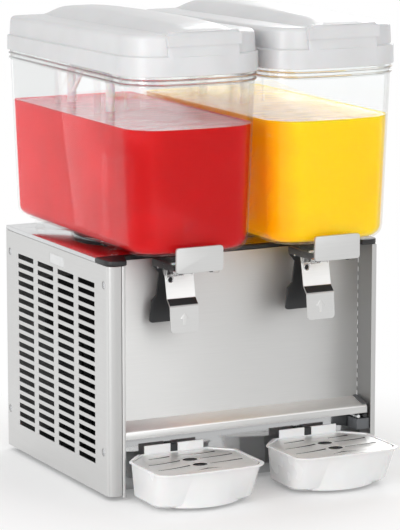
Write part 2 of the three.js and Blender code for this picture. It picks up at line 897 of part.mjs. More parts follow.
// Cable gland in the back panel
function gland() {
  const face = backY + fitGap;
  const flange = rodY(glandX, face, face + glandReach / 3, glandZ, glandRadius, 12);
  const nose = rodY(glandX, face, face + glandReach, glandZ, glandNose, 12, glandTip);
  const body = rodY(glandX, backY - sheet - glandReach / 2, backY + glandReach / 2, glandZ, glandNeck, 12);
  const bore = rodY(glandX, backY - glandReach - cutOver, backY + 2 * glandReach, glandZ, glandBore, 10);
  return geometryOf(cut(union(flange, nose, body), bore));
}
add('cable_gland', gland(), blackPlastic);

// Rocker switches: each rocker has a bezel of its own on the back panel
function rocker(x) {
  const z = switchZ;
  const y0 = backY + bezelProud - switchThick;
  const w = switchWide / 2 - bezelWide / 2;
  const h = switchTall / 2 - bezelWide;
  const face = backY + bezelProud;
  const profile = [
    [y0, z - h * rockerTailShare],
    [y0, z + h * rockerTailShare],
    [face - switchRock, z + h],
    [face + switchProud - switchRock, z + h],
    [face, z],
    [face + switchProud + switchRock / 2, z - h],
    [face - switchRock, z - h],
  ];
  return sideSlab(profile.reverse(), x - w, x + w);
}

function bezel() {
  const z = switchZ;
  const last = switchPlaces.length - 1;
  const x0 = switchPlaces[0][1] - switchWide / 2 - bezelMargin;
  const x1 = switchPlaces[last][1] + switchWide / 2 + bezelMargin;
  const tall = switchTall / 2 + bezelMargin;
  const y0 = backY + fitGap;
  let plate = solidOf(frontSlab(roundedBox(x0, x1, z - tall, z + tall, bezelCorner), y0, y0 + bezelProud));
  for (const [, x] of switchPlaces) {
    const w = switchWide / 2;
    const h = switchTall / 2;
    plate = plate.add(solidOf(box(x - w, x + w, backY - switchThick / 2, y0 + bezelProud / 2,
      z - h, z + h)));
    plate = plate.subtract(solidOf(box(x - w + bezelWide / 2 - fitGap, x + w - bezelWide / 2 + fitGap,
      backY - switchThick, y0 + 2 * bezelProud,
      z - h + bezelWide - 2 * fitGap, z + h - bezelWide + 2 * fitGap)));
  }
  return geometryOf(plate);
}
add('switch_bezel', bezel(), blackPlastic);
for (const [name, x] of switchPlaces) add(name, rocker(x), blackPlastic);

// Thermostat knob with a ribbed grip
function knob() {
  const z = switchZ;
  const y0 = backY + fitGap + bezelProud;
  const step = 360 / knobGrips;
  const plan = [];
  for (let i = 0; i < knobGrips; i++) {
    const [landEnd, fluteStart, fluteEnd] = knobGripShares.map((share) => (i + share) * step);
    plan.push(...arc(knobX, z, knobRadius, i * step, landEnd, 1));
    plan.push(...arc(knobX, z, knobRadius - knobGrip, fluteStart, fluteEnd, 1));
  }
  const grip = frontSlab(plan, y0, y0 + knobDepth);
  const shaft = rodY(knobX, backY - sheet - knobShaft, y0 + knobDepth / 2, z, knobShaft, 16);
  const pointer = box(knobX - knobGrip / 2, knobX + knobGrip / 2, y0 + knobDepth - fitGap,
    y0 + knobDepth + knobGrip / 2, z + knobPointerLow, z + knobPointerHigh);
  return geometryOf(union(grip, shaft, pointer));
}
add('thermostat_knob', knob(), blackPlastic);

// Bowls and everything in and on them
const jarSize = {
  halfWidth: jarHalfWidth,
  front: jarFront,
  back: jarBack,
  frontRadius: jarFrontRadius,
  backRadius: jarBackRadius,
  bow: jarBow,
};
const lidSize = {
  halfWidth: lidHalfWidth,
  front: lidFront,
  back: lidBack,
  frontRadius: jarFrontRadius + lidReach,
  backRadius: jarBackRadius + lidReach,
  bow: jarBow,
};

function jar(x) {
  const tapX = x + tapOffset;
  const ribTop = lidBottom - ribGap;
  const draftAt = (z) => jarDraft * (1 - (z - jarBottom) / jarHeight);
  const level = (z, extra = 0) => ring(bowlPlan(x, draftAt(z) + extra, jarSize), z);
  const rings = [];
  const innerFloor = jarBottom + jarWall;
  const innerRadius = jarFloorRadius - jarWall;
  for (const degrees of [0, 45, 90]) {
    const angle = THREE.MathUtils.degToRad(degrees);
    const z = innerFloor + innerRadius * (1 - Math.cos(angle));
    rings.push(level(z, jarWall + innerRadius * (1 - Math.sin(angle))));
  }
  rings.push(level(rimTop, jarWall));
  rings.push(level(rimTop, -rimReach));
  rings.push(level(rimTop - rimHeight, -rimReach));
  rings.push(level(rimTop - rimHeight, 0));
  for (const top of [ribTop, ribTop - ribHeight - ribGap]) {
    rings.push(level(top, 0));
    rings.push(level(top - ribHeight / 2, -ribReach));
    rings.push(level(top - ribHeight, 0));
  }
  for (const degrees of [90, 45, 0]) {
    const angle = THREE.MathUtils.degToRad(degrees);
    const z = jarBottom + jarFloorRadius * (1 - Math.cos(angle));
    rings.push(level(z, jarFloorRadius * (1 - Math.sin(angle))));
  }
  const shell = solidOf(skin(rings.reverse()));
  const collarLow = deckTop + fitGap;
  const collar = post(x, domeY, collarLow, jarBottom + jarWall, collarBore + collarWall, 20);
  const outlet = post(tapX, outletY, jarBottom - outletDrop, jarBottom + jarWall / 2, outletRadius, 16);
  const spools = [];
  for (const side of [-1, 1]) {
    for (const y of [footSpoolFront, jarBack - footSpoolBackInset]) {
      const middle = (collarLow + jarBottom) / 2;
      spools.push(lathe(x + side * (jarHalfWidth - footSpoolInset), y, [
        [0, collarLow],
        [footSpoolRadius, collarLow],
        [footSpoolRadius, collarLow + jarWall / 2],
        [footSpoolWaist, middle],
        [footSpoolRadius, jarBottom + jarWall / 2],
        [0, jarBottom + jarWall / 2],
      ], 8));
    }
  }
  const cheeks = [];
  for (const side of [-1, 1]) {
    const inside = tapX + side * (cheekReach - cheekThickness / 2);
    const profile = [
      [pivotY - cheekEye + cheekTopBack, jarBottom + jarWall / 2],
      [pivotY - cheekEye + cheekTopBack, jarBottom - jarWall],
      ...arc(pivotY, pivotZ, cheekEye, 180, 250, 3),
      [outletY + cheekBackLow - jarWall, jarBottom - cheekDrop],
      [outletY + cheekBackLow, jarBottom - cheekDrop + jarWall],
      [outletY + cheekBack, jarBottom - jarWall],
      [outletY + cheekBack + jarWall, jarBottom + jarWall / 2],
    ];
    const x0 = side > 0 ? inside : inside - cheekThickness;
    cheeks.push(sideSlab(profile, x0, x0 + cheekThickness));
  }
  const whole = shell.add(union(collar, outlet, ...spools, ...cheeks));
  const domeHole = post(x, domeY, collarLow - cutOver, jarBottom + jarWall + cutOver, collarBore, 20);
  const boreLow = jarBottom - outletDrop + outletLipHeight;
  const bore = post(tapX, outletY, boreLow, jarBottom + 2 * jarWall, outletBore, 16);
  const mouth = post(tapX, outletY, jarBottom - outletDrop - cutOver, jarBottom, outletLip, 16);
  const slotZ = crossPinHeight;
  const pinSlot = box(tapX - outletRadius - cutOver, tapX + outletRadius + cutOver,
    outletY - crossPinRadius - slotRoom, outletY + crossPinRadius + slotRoom,
    slotZ - crossPinRadius - slotRoom / 2, slotZ + crossPinRadius + pinLift + slotRoom / 2);
  const pinHole = rodX(tapX - cheekReach - 2 * cheekThickness, tapX + cheekReach + 2 * cheekThickness,
    pivotY, pivotZ, pivotPinRadius + fitGap, 12);
  return geometryOf(cut(whole, domeHole, bore, mouth, pinSlot, pinHole));
}

function lid(x) {
  const flangeTop = lidBottom + lidFlange;
  const level = (z, inset) => ring(bowlPlan(x, inset, lidSize), z);
  const outerRings = [level(lidBottom, 0), level(flangeTop, 0), level(flangeTop, lidStep)];
  for (const degrees of [0, 30, 60, 90]) {
    const angle = THREE.MathUtils.degToRad(degrees);
    outerRings.push(level(lidTop - lidShoulder * (1 - Math.sin(angle)),
      lidStep + lidWall / 2 + lidShoulder * (1 - Math.cos(angle))));
  }
  const ceiling = lidTop - lidWall;
  const seatZ = rimTop + fitGap;
  const pocket = lidReach - rimReach - fitGap;
  const innerRings = [level(lidBottom - cutOver, pocket), level(seatZ, pocket),
    level(seatZ, pocket + lidSeat)];
  for (const degrees of [0, 45, 90]) {
    const angle = THREE.MathUtils.degToRad(degrees);
    const inner = lidShoulder - lidWall;
    innerRings.push(level(ceiling - inner * (1 - Math.sin(angle)),
      Math.max(pocket + lidSeat, lidStep + lidWall / 2 + lidWall + inner * (1 - Math.cos(angle)))));
  }
  const front = lidFront - jarBow + lidStep + lidWall / 2;
  const hump = (shrink) => {
    const start = lidBack - humpBackInset - shrink;
    const topAt = (share) => {
      const rise = Math.sin((Math.PI / 2) * Math.min(1, share));
      return lidTop + humpHeight * rise - shrink;
    };
    const points = [[start, lidTop - lidShoulder]];
    const backSteps = 5;
    for (let i = 0; i <= backSteps; i++) {
      const share = i / backSteps;
      points.push([start + (humpApexY - start) * (1 - Math.cos((Math.PI / 2) * share)), topAt(share)]);
    }
    const frontSteps = 5;
    const end = front + shrink;
    for (let i = 1; i <= frontSteps; i++) {
      const share = i / frontSteps;
      const drop = (humpHeight - humpFrontHeight) * share * share;
      points.push([humpApexY + (end + humpEdge - humpApexY) * share, lidTop + humpHeight - drop - shrink]);
    }
    points.push([end, lidTop + humpFrontHeight - humpEdge - shrink]);
    points.push([end, lidTop - lidShoulder]);
    const w = humpHalfWidth - shrink;
    const profile = points.reverse();
    const block = sideSlab(profile, x - w - humpSlope, x + w + humpSlope);
    const place = block.attributes.position;
    for (let v = 0; v < place.count; v++) {
      const share = THREE.MathUtils.clamp((place.getZ(v) - lidTop) / humpHeight, 0, 1);
      const side = Math.sign(place.getX(v) - x);
      place.setX(v, place.getX(v) - side * humpSlope * share);
    }
    return block;
  };
  const outer = solidOf(skin(outerRings)).add(solidOf(hump(0)));
  const inner = solidOf(skin(innerRings)).add(solidOf(hump(lidWall)).subtract(solidOf(
    box(x - lidHalfWidth, x + lidHalfWidth, lidFront - lidHalfWidth, lidBack + cutOver, lidBottom - cutOver,
      ceiling - lidShoulder / 2))));
  return geometryOf(outer.subtract(inner));
}

// Cooling dome: drawn stainless cylinder with a domed top and a short axle for the mixer
function dome(x) {
  const z0 = deckTop + fitGap;
  const top = domeTop;
  return lathe(x, domeY, [
    [0, z0],
    [domeFlangeRadius, z0],
    [domeFlangeRadius, z0 + domeFlange],
    [domeRadius, z0 + domeFlange],
    [domeRadius, top - domeCrown],
    [domeRadius - domeCrown / 3, top - domeCrown / 3],
    [domeRadius - domeCrown, top],
    [axleRadius, top + axleStep],
    [axleRadius, axleTop],
    [0, axleTop],
  ], 20);
}

function sealRing(x) {
  const z0 = deckTop + 2 * fitGap + domeFlange;
  const inner = domeRadius + fitGap;
  const outer = collarBore - fitGap;
  return lathe(x, domeY, [
    [inner, z0],
    [outer, z0],
    [outer, z0 + sealHeight - sealLip],
    [outer - sealLip, z0 + sealHeight],
    [inner, z0 + sealHeight],
    [inner, z0],
  ], 20);
}

function impeller(x) {
  const z0 = impellerLow;
  const z1 = z0 + impellerHeight;
  const pieces = [
    post(x, domeY, z0, z0 + impellerBladeThickness, impellerRadius, 18),
    post(x, domeY, z0, z1, impellerHub, 12),
  ];
  for (let i = 0; i < impellerBlades; i++) {
    const root = impellerHub / 2;
    const blade = new THREE.BoxGeometry(impellerRadius - root, impellerBladeThickness, impellerHeight);
    blade.translate((impellerRadius + root) / 2, 0, z0 + impellerHeight / 2);
    blade.rotateZ((i * 2 * Math.PI) / impellerBlades);
    blade.translate(x, domeY, 0);
    pieces.push(blade);
  }
  const bore = post(x, domeY, z0 - cutOver, z1 - impellerCap, axleRadius + fitGap, 10);
  return geometryOf(cut(union(...pieces), bore));
}

// Spray tube: rises from the jar's floor, runs forward under the lid and drops to the mixer
function sprayTube(x) {
  const side = x - tubeOffset;
  const low = jarBottom + jarWall + fitGap;
  const frontLow = impellerLow + impellerHeight + tubeRoom;
  const at = (y, z) => new THREE.Vector3(side, y, z);
  const bend = (cy, cz, start) => arc(cy, cz, tubeBend, start, start + 90, 4).map(([y, z]) => at(y, z));
  const run = [
    at(tubeBackY, low),
    ...bend(tubeBackY - tubeBend, tubeTop - tubeBend, 0),
    ...bend(tubeFrontY + tubeBend, tubeTop - tubeBend, 90),
    at(tubeFrontY, frontLow),
  ];
  const tube = wire(run, tubeRadius, 10);
  const bore = post(side, tubeFrontY, frontLow - cutOver, tubeTop - tubeBend, tubeBore, 10);
  const brace = wire([at(tubeBackY, tubeTop - tubeBend - braceReach),
    at(tubeBackY - braceReach - tubeBend, tubeTop)], tubeBrace, 6);
  return geometryOf(cut(union(tube, brace), bore));
}

// Valve plunger with the cross pin that the lever's arms lift
function plunger(tapX) {
  const z0 = jarBottom - outletDrop + outletLipHeight + fitGap;
  const z1 = z0 + plungerHeight;
  const rod = lathe(tapX, outletY, [
    [0, z0],
    [plungerRadius - plungerDome / 2, z0],
    [plungerRadius, z0 + plungerDome / 2],
    [plungerRadius, z1 - plungerDome],
    [plungerRadius - plungerDome, z1],
    [0, z1],
  ], 14);
  const crossPin = rodX(tapX - crossPinReach, tapX + crossPinReach, outletY, crossPinHeight,
    crossPinRadius, 10);
  return geometryOf(union(rod, crossPin));
}

// Black cup lever: two arms from the pivot and a paddle behind the outlet
function cupLever(tapX) {
  const pieces = [];
  const armZ0 = armTop - armHeight;
  for (const side of [-1, 1]) {
    const x0 = tapX + side * armReach - (side > 0 ? armThickness : 0);
    const eye = arc(pivotY, pivotZ, armEye, 110, 270, 5);
    const profile = [
      ...eye,
      [paddleY - paddleThickness, armZ0],
      [paddleY, armZ0],
      [paddleY, armTop],
      [pivotY, armTop],
    ];
    pieces.push(sideSlab(profile, x0, x0 + armThickness));
  }
  const outline = (side) => [
    [side * armReach, armTop],
    [side * armReach, armTop - armHeight],
    [side * neckHalf, jarBottom - neckDrop],
    [side * hipHalf, jarBottom - hipDrop],
    [side * shoulderHalf, jarBottom - shoulderDrop],
    ...arc(side * (paddleHalf - paddleCorner), jarBottom - paddleDrop + paddleCorner, paddleCorner,
      side > 0 ? 0 : 180, side > 0 ? -90 : 270, 3),
  ];
  const plan = [...outline(1), ...outline(-1).reverse()].map(([px, pz]) => [tapX + px, pz]);
  pieces.push(frontSlab(plan, paddleY - paddleThickness, paddleY));
  const hole = rodX(tapX - armReach - cutOver, tapX + armReach + cutOver, pivotY, pivotZ,
    pivotPinRadius + fitGap, 12);
  return geometryOf(cut(union(...pieces), hole));
}

// Stainless push plate: one sheet with a forward step, hung from the arms by two ears
function pushPlate(tapX) {
  const topY = outletY + plateTopBack;
  const topZ = jarBottom - plateTopDrop;
  const stepY = outletY + plateStepBack;
  const stepZ = jarBottom - plateStepDrop;
  const ledgeY = outletY + plateLedgeBack;
  const ledgeZ = jarBottom - plateLedgeDrop;
  const lowY = outletY + plateLowBack;
  const lowZ = jarBottom - plateLowDrop;
  const path = [
    [topY, topZ],
    [stepY, stepZ + plateBend],
    [stepY - plateBend, stepZ],
    [ledgeY, ledgeZ],
    [ledgeY - plateBend / 2, ledgeZ - plateBend],
    [lowY, lowZ],
  ];
  const sheetBody = solidOf(sideSlab(bentSheet(path, plateSheet), tapX - plateHalf, tapX + plateHalf));
  const corners = [];
  const ears = [];
  for (const side of [-1, 1]) {
    const edge = tapX + side * plateHalf;
    const centre = edge - side * plateCorner;
    const blank = [
      [edge + side * cutOver, lowZ - cutOver],
      [centre, lowZ - cutOver],
      ...arc(centre, lowZ + plateCorner, plateCorner, side > 0 ? -90 : 270, side > 0 ? 0 : 180, 4),
      [edge + side * cutOver, lowZ + plateCorner],
    ];
    corners.push(frontSlab(blank, lowY - 3 * plateCorner, ledgeY + 3 * plateCorner));
    const outside = armReach - armThickness - fitGap;
    const x0 = tapX + side * outside - (side > 0 ? earThickness : 0);
    ears.push(sideSlab([
      [topY - plateSheet, topZ - plateCorner],
      [topY + plateSheet / 2, topZ - plateCorner],
      [topY + earLength / 2, topZ + earHeight],
      [topY - earLength / 2, topZ + earHeight],
    ], x0, x0 + earThickness));
  }
  return geometryOf(cut(sheetBody, ...corners).add(union(...ears)));
}

// The least free space between a spring's turns, measured on the points of the wire's middle line
const leastGaps = [];

function leastSelfGap(points) {
  let least = Infinity;
  for (let i = 0; i < points.length; i++) {
    for (let k = i + springStepsPerTurn / 2; k < points.length; k++) {
      least = Math.min(least, points[i].distanceTo(points[k]) - 2 * springWire);
    }
  }
  return least;
}

// Torsion spring round the pivot pin, one unbroken wire with a leg at each end
function leverSpring(tapX) {
  const points = [];
  const steps = springTurns * springStepsPerTurn;
  const springRadius = pivotPinRadius + fitGap + springWire;
  const startAngle = -Math.PI / 2;
  const endAngle = startAngle + 2 * Math.PI * springTurns;
  const x0 = tapX + springStart;
  const x1 = tapX + springEnd;
  const spot = (angle, x) => new THREE.Vector3(x, pivotY + springRadius * Math.cos(angle),
    pivotZ + springRadius * Math.sin(angle));
  points.push(spot(startAngle, x0).add(new THREE.Vector3(0, springLeg, 0)));
  points.push(spot(startAngle, x0).add(new THREE.Vector3(0, springLeg / 2, 0)));
  for (let i = 0; i <= steps; i++) {
    const share = i / steps;
    points.push(spot(startAngle + (endAngle - startAngle) * share, x0 + (x1 - x0) * share));
  }
  points.push(spot(endAngle, x1).add(new THREE.Vector3(0, springLeg / 2, 0)));
  points.push(spot(endAngle, x1).add(new THREE.Vector3(0, springLeg, 0)));
  leastGaps.push(leastSelfGap(points));
  return wire(points, springWire, springSides);
}

// A wire through points, each ring square to the way it runs
function wire(points, radius, sides) {
  const rings = points.map((point, i) => {
    const before = points[Math.max(i - 1, 0)];
    const after = points[Math.min(i + 1, points.length - 1)];
    const along = after.clone().sub(before).normalize();
    const across = new THREE.Vector3(1, 0, 0).addScaledVector(along, -along.x).normalize();
    const up = along.clone().cross(across);
    const loop = [];
    for (let s = 0; s < sides; s++) {
      const angle = (2 * Math.PI * s) / sides;
      loop.push(point.clone().addScaledVector(across, radius * Math.cos(angle))
        .addScaledVector(up, radius * Math.sin(angle)));
    }
    return loop;
  });
  const positions = rings.flat().flatMap((p) => [p.x, p.y, p.z]);
  const index = [];
  for (let r = 0; r < rings.length - 1; r++) {
    for (let s = 0; s < sides; s++) {
      const a = r * sides + s;
      const b = r * sides + ((s + 1) % sides);
      index.push(a, b, b + sides, a, b + sides, a + sides);
    }
  }
  const last = (rings.length - 1) * sides;
  for (let s = 1; s < sides - 1; s++) {
    index.push(0, s + 1, s);
    index.push(last, last + s, last + s + 1);
  }
  const geometry = new THREE.BufferGeometry();
  geometry.setAttribute('position', new THREE.Float32BufferAttribute(positions, 3));
  geometry.setIndex(index);
  return geometry;
}

// Tap cover: folded stainless plate with a clip round the outlet
function tapCover(tapX) {
  const x0 = tapX - coverWidth / 2;
  const x1 = tapX + coverWidth / 2;
  const z1 = coverBottom + coverHeight;
  const plan = (inset) => roundedBox(x0 + inset, x1 - inset, coverBottom + inset, z1 - inset,
    coverCorner - inset);
  const outer = frontSlab(plan(0), coverY, coverY + coverRim);
  const inner = frontSlab(plan(coverSheet), coverY + coverSheet, coverY + coverRim + cutOver);
  const clipZ = crossPinHeight + crossPinRadius + pinLift + slotRoom / 2;
  const pan = cut(solidOf(outer), inner);
  const ringOuter = post(tapX, outletY, clipZ, clipZ + clipHeight,
    outletRadius + fitGap + clipThickness, 14);
  const tongue = box(tapX - clipTongue / 2, tapX + clipTongue / 2, coverY + coverSheet / 2,
    outletY - outletRadius, clipZ, clipZ + clipHeight);
  const hole = post(tapX, outletY, clipZ - cutOver, clipZ + clipHeight + cutOver, outletRadius + fitGap, 14);
  return geometryOf(pan.add(cut(union(ringOuter, tongue), hole)));
}

for (const [side, x] of bowlSides) {
  const tapX = x + tapOffset;
  add(`${side}_jar`, jar(x), clearPlastic);
  add(`${side}_lid`, lid(x), lidPlastic);
  add(`${side}_cooling_dome`, dome(x), polishedSteel);
  add(`${side}_seal_ring`, sealRing(x), blackRubber);
  add(`${side}_impeller`, impeller(x), whitePlastic);
  add(`${side}_spray_tube`, sprayTube(x), whitePlastic);
  add(`${side}_mixer_motor`, post(x, domeY, deckUnder - fitGap - mixerMotorHeight, deckUnder - fitGap,
    mixerMotorRadius, 20), blackPaint);
  add(`${side}_valve_plunger`, plunger(tapX), whitePlastic);
  add(`${side}_cup_lever`, cupLever(tapX), blackPlastic);
  add(`${side}_push_plate`, pushPlate(tapX), brushedSteel);
  add(`${side}_pivot_pin`, rodX(tapX - pivotPinReach, tapX + pivotPinReach, pivotY, pivotZ, pivotPinRadius),
    polishedSteel);
  add(`${side}_lever_spring`, leverSpring(tapX), brushedSteel);
  add(`${side}_tap_cover`, tapCover(tapX), brushedSteel);
}

// Drip trays: tapered bowls with a rolled rim, a bellied front and two hanging tabs
function trayPlan(x, grow, lower = 0) {
  const w = trayHalf + grow - lower * traySideTaper;
  const backHalf = trayBackHalf + grow - lower * traySideTaper;
  const front = trayFront - grow + lower * trayFrontTaper;
  const back = trayBack + grow - lower * trayBackTaper;
  const points = [
    ...arc(x - w + trayCorner, front + trayCorner, trayCorner, 180, 270, 3),
    [x - w * bowPointShare, front],
    [x, front],
    [x + w * bowPointShare, front],
    ...arc(x + w - trayCorner, front + trayCorner, trayCorner, 270, 360, 3),
    [x + w, trayShoulderY],
    [x + backHalf, back - trayBackCorner],
    [x + backHalf - trayBackCorner, back],
    [x - backHalf + trayBackCorner, back],
    [x - backHalf, back - trayBackCorner],
    [x - w, trayShoulderY],
  ];
  return points.map(([px, py]) => {
    const share = (px - x) / w;
    const forward = Math.max(0, (front + trayCorner - py) / trayCorner);
    return [px, py - trayBow * forward * (1 - share * share)];
  });
}

// The belly's plan: a shallow arc whose upright wall meets the leaning front wall in an arch
function bellyPlan(x, inset) {
  const rise = trayFrontTaper - bellySetback;
  const radius = (bellyHalf * bellyHalf + rise * rise) / (2 * rise);
  const spread = THREE.MathUtils.radToDeg(Math.asin(bellyHalf / radius));
  const centre = trayFront + bellySetback + radius;
  const edge = arc(x, centre, radius - inset, 270 - spread, 270 + spread, 10);
  return [...edge, [edge.at(-1)[0], trayShoulderY], [edge[0][0], trayShoulderY]];
}

function tray(x) {
  const height = trayRimZ - trayBottomZ;
  const level = (z, grow) => ring(trayPlan(x, grow, 1 - (z - trayBottomZ) / height), z);
  const floor = trayBottomZ + trayWall;
  const ledgeZ = trayRimZ - grateDrop - grateSheet - fitGap;
  const outer = skin([
    level(trayBottomZ, -trayRoll),
    level(trayBottomZ + trayRoll, 0),
    level(trayRimZ - trayRimThickness, 0),
    level(trayRimZ - trayRimThickness, trayRim),
    level(trayRimZ, trayRim),
  ]);
  const hollow = skin([
    level(floor, -trayWall - trayRoll),
    level(floor + trayRoll, -trayWall),
    level(ledgeZ - grateLedge, -trayWall - grateLedge),
    level(ledgeZ, -trayWall - grateLedge),
    level(ledgeZ, -trayWall / 2),
    level(trayRimZ + cutOver, -trayWall / 2),
  ]);
  const belly = slab(bellyPlan(x, 0), trayBottomZ, trayRimZ - trayRimThickness);
  const bellyHollow = slab(bellyPlan(x, trayWall), floor, ledgeZ - grateLedge - trayWall);
  const tabs = [];
  for (const side of [-1, 1]) {
    const x0 = x + (side * (tabGap + tabWidth)) / 2 - tabWidth / 2;
    tabs.push(box(x0, x0 + tabWidth, trayBack + trayRim - tabThickness, trayBack + trayRim,
      trayRimZ - trayRimThickness, trayRimZ + tabHeight));
  }
  const notch = box(x - tabGap / 2, x + tabGap / 2, trayBack, trayBack + 2 * trayRim,
    trayRimZ - 2 * trayRimThickness, trayRimZ + cutOver);
  const shell = cut(union(outer, belly), hollow, bellyHollow);
  return geometryOf(cut(shell.add(union(...tabs)), notch));
}

// Stainless grate: thin plate with two ovals, tapering curved slots and a wing-shaped slot
function curvedSlot(x0, x1, y, sag) {
  const steps = 4;
  const edge = (side) => {
    const points = [];
    for (let i = 0; i <= steps; i++) {
      const share = i / steps;
      const wide = THREE.MathUtils.lerp(slotTip, slotWide, share);
      points.push([THREE.MathUtils.lerp(x0, x1, share), y + sag * share * share + (side * wide) / 2]);
    }
    return points;
  };
  return [...edge(-1), ...edge(1).reverse()];
}

function grate(x) {
  const z1 = trayRimZ - grateDrop;
  const lower = grateDrop / (trayRimZ - trayBottomZ);
  const plan = trayPlan(x, -trayWall / 2 - grateInset / 2, lower);
  const holes = [];
  for (const y of [ovalBackY, ovalFrontY]) {
    holes.push(circle(0, 0, 1, 10).map(([a, b]) => [x + a * ovalRadius, y + b * ovalShort]));
  }
  const near = ovalRadius + ovalGap;
  const far = trayHalf - slotEndInset;
  for (const y of [ovalBackY, ovalFrontY]) {
    holes.push(curvedSlot(x - far, x - near, y - slotSag, slotSag));
    holes.push(curvedSlot(x + near, x + far, y, slotSag / 2));
  }
  const [backNear, backFar] = backSlotShares.map((share) => share * trayBackHalf);
  holes.push(curvedSlot(x - backFar, x - backNear, backSlotY, slotSag / 2));
  holes.push(curvedSlot(x + backNear, x + backFar, backSlotY, slotSag / 2));
  const wingY = trayFront + wingFront;
  holes.push([
    [x - wingHalf, wingY - slotTip],
    [x, wingY + wingRise - slotWide / 2],
    [x + wingHalf, wingY],
    [x, wingY + wingRise + slotTip],
  ]);
  return slab(plan, z1 - grateSheet, z1, holes);
}

// Black catch on the lower panel: a ledge under the rim and a tongue between the tabs
function trayCatch(x) {
  const y0 = trayBack + catchGap;
  const y1 = lowerSetback - fitGap;
  const ledgeTop = trayRimZ - trayRimThickness - fitGap;
  const tongueHalf = tabGap / 2 - catchGap;
  const ledge = sideSlab([
    [y0, ledgeTop],
    [y0, ledgeTop - catchHeight / 2],
    [y1 - catchHeight / 2, ledgeTop - catchHeight],
    [y1, ledgeTop - catchHeight * 2],
    [y1, ledgeTop],
  ], x - catchHalf, x + catchHalf);
  const top = ledgeTop + tongueRise;
  const tongue = sideSlab([
    [y0, ledgeTop - catchHeight / 2],
    [y1, ledgeTop - catchHeight / 2],
    [y1, top - catchHeight],
    [y0 + catchHeight, top],
    [y0, top],
  ], x - tongueHalf, x + tongueHalf);
  return geometryOf(union(ledge, tongue));
}

for (const [side, x] of bowlSides) {
  add(`${side}_drip_tray`, tray(x), whitePlastic);
  add(`${side}_drip_grate`, grate(x), polishedSteel);
  add(`${side}_tray_catch`, trayCatch(x), blackPlastic);
}

console.log(`least gap between spring turns ${Math.min(...leastGaps).toFixed(2)} mm`);

export default dispenser;
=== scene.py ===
"""Looks of a twin bowl cold juice dispenser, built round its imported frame. Metres, +Z up."""

import json
import math

import bmesh
import bpy
from bpy.props import FloatProperty, FloatVectorProperty, IntProperty, PointerProperty
from bpy.types import Operator, Panel, PropertyGroup
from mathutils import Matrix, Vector

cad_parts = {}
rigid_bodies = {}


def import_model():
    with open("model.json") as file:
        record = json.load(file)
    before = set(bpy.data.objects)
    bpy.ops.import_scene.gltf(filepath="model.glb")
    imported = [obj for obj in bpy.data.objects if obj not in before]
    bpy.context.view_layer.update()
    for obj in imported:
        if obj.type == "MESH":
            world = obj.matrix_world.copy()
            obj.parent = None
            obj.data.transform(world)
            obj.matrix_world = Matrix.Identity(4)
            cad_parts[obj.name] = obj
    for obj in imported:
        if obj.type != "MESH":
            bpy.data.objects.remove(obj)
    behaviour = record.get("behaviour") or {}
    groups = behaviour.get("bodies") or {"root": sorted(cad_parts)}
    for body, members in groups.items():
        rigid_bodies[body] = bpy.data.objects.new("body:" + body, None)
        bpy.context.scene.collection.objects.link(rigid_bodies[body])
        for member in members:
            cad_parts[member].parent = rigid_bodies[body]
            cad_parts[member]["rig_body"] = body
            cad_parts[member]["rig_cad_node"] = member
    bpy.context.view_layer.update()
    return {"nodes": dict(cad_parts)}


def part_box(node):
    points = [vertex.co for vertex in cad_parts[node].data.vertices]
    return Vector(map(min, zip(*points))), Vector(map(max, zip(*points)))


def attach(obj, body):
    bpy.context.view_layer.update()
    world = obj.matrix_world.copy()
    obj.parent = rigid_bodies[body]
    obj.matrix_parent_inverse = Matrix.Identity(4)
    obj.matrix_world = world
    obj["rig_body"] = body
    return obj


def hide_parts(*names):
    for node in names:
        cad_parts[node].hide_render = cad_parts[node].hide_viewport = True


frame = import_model()

bl_info = {
    "name": "Juice dispenser",
    "version": (1, 0, 0),
    "blender": (4, 5, 0),
    "location": "View3D > Sidebar > Dispenser",
    "description": "Models and finishes the pieces of a twin bowl juice dispenser",
    "category": "Object",
}

MM = 0.001
SIDES = ("left", "right")


def linear(hex_code):
    """An sRGB hex colour as the linear value that a shader takes."""
    values = [int(hex_code[i:i + 2], 16) / 255 for i in (1, 3, 5)]
    return tuple(v / 12.92 if v <= 0.04045 else ((v + 0.055) / 1.055) ** 2.4 for v in values)


# Sizes and colours that a user may change

def length(name, description, millimetres):
    return FloatProperty(name=name, description=description, default=millimetres * MM, unit="LENGTH")


def colour(name, description, hex_code):
    return FloatVectorProperty(name=name, description=description, default=linear(hex_code),
                               subtype="COLOR")


class BowlSizes(PropertyGroup):
    wall: length("Wall", "Thickness of the bowl's wall", 3)
    lid_reach: length("Lid reach", "How far the lid stands out past the bowl", 3.4)
    bow: length("Front bow", "How far the front wall bulges", 12)
    front_radius: length("Front corners", "Radius of the bowl's front corners", 43)
    back_radius: length("Back corners", "Radius of the bowl's back corners", 18.6)
    draft: length("Draft", "How much narrower each wall is at the floor", 10)
    gap: length("Deck gap", "Height of the bowl's floor over the deck", 11)
    floor_radius: length("Floor edge", "Radius between the floor and the walls", 18)
    rim_height: length("Rim", "Height of the plain rim under the lid", 10)
    rib_height: length("Rib", "Height of each rib round the rim", 3)
    rib_reach: length("Rib reach", "How far a rib stands out", 2.2)
    rib_gap: length("Rib gap", "Distance between two ribs, and from the upper one to the lid", 3.2)
    lid_overlap: length("Lid overlap", "How far the lid's skirt covers the rim", 8)
    juice_level: length("Juice level", "Height of the juice over the counter", 501)


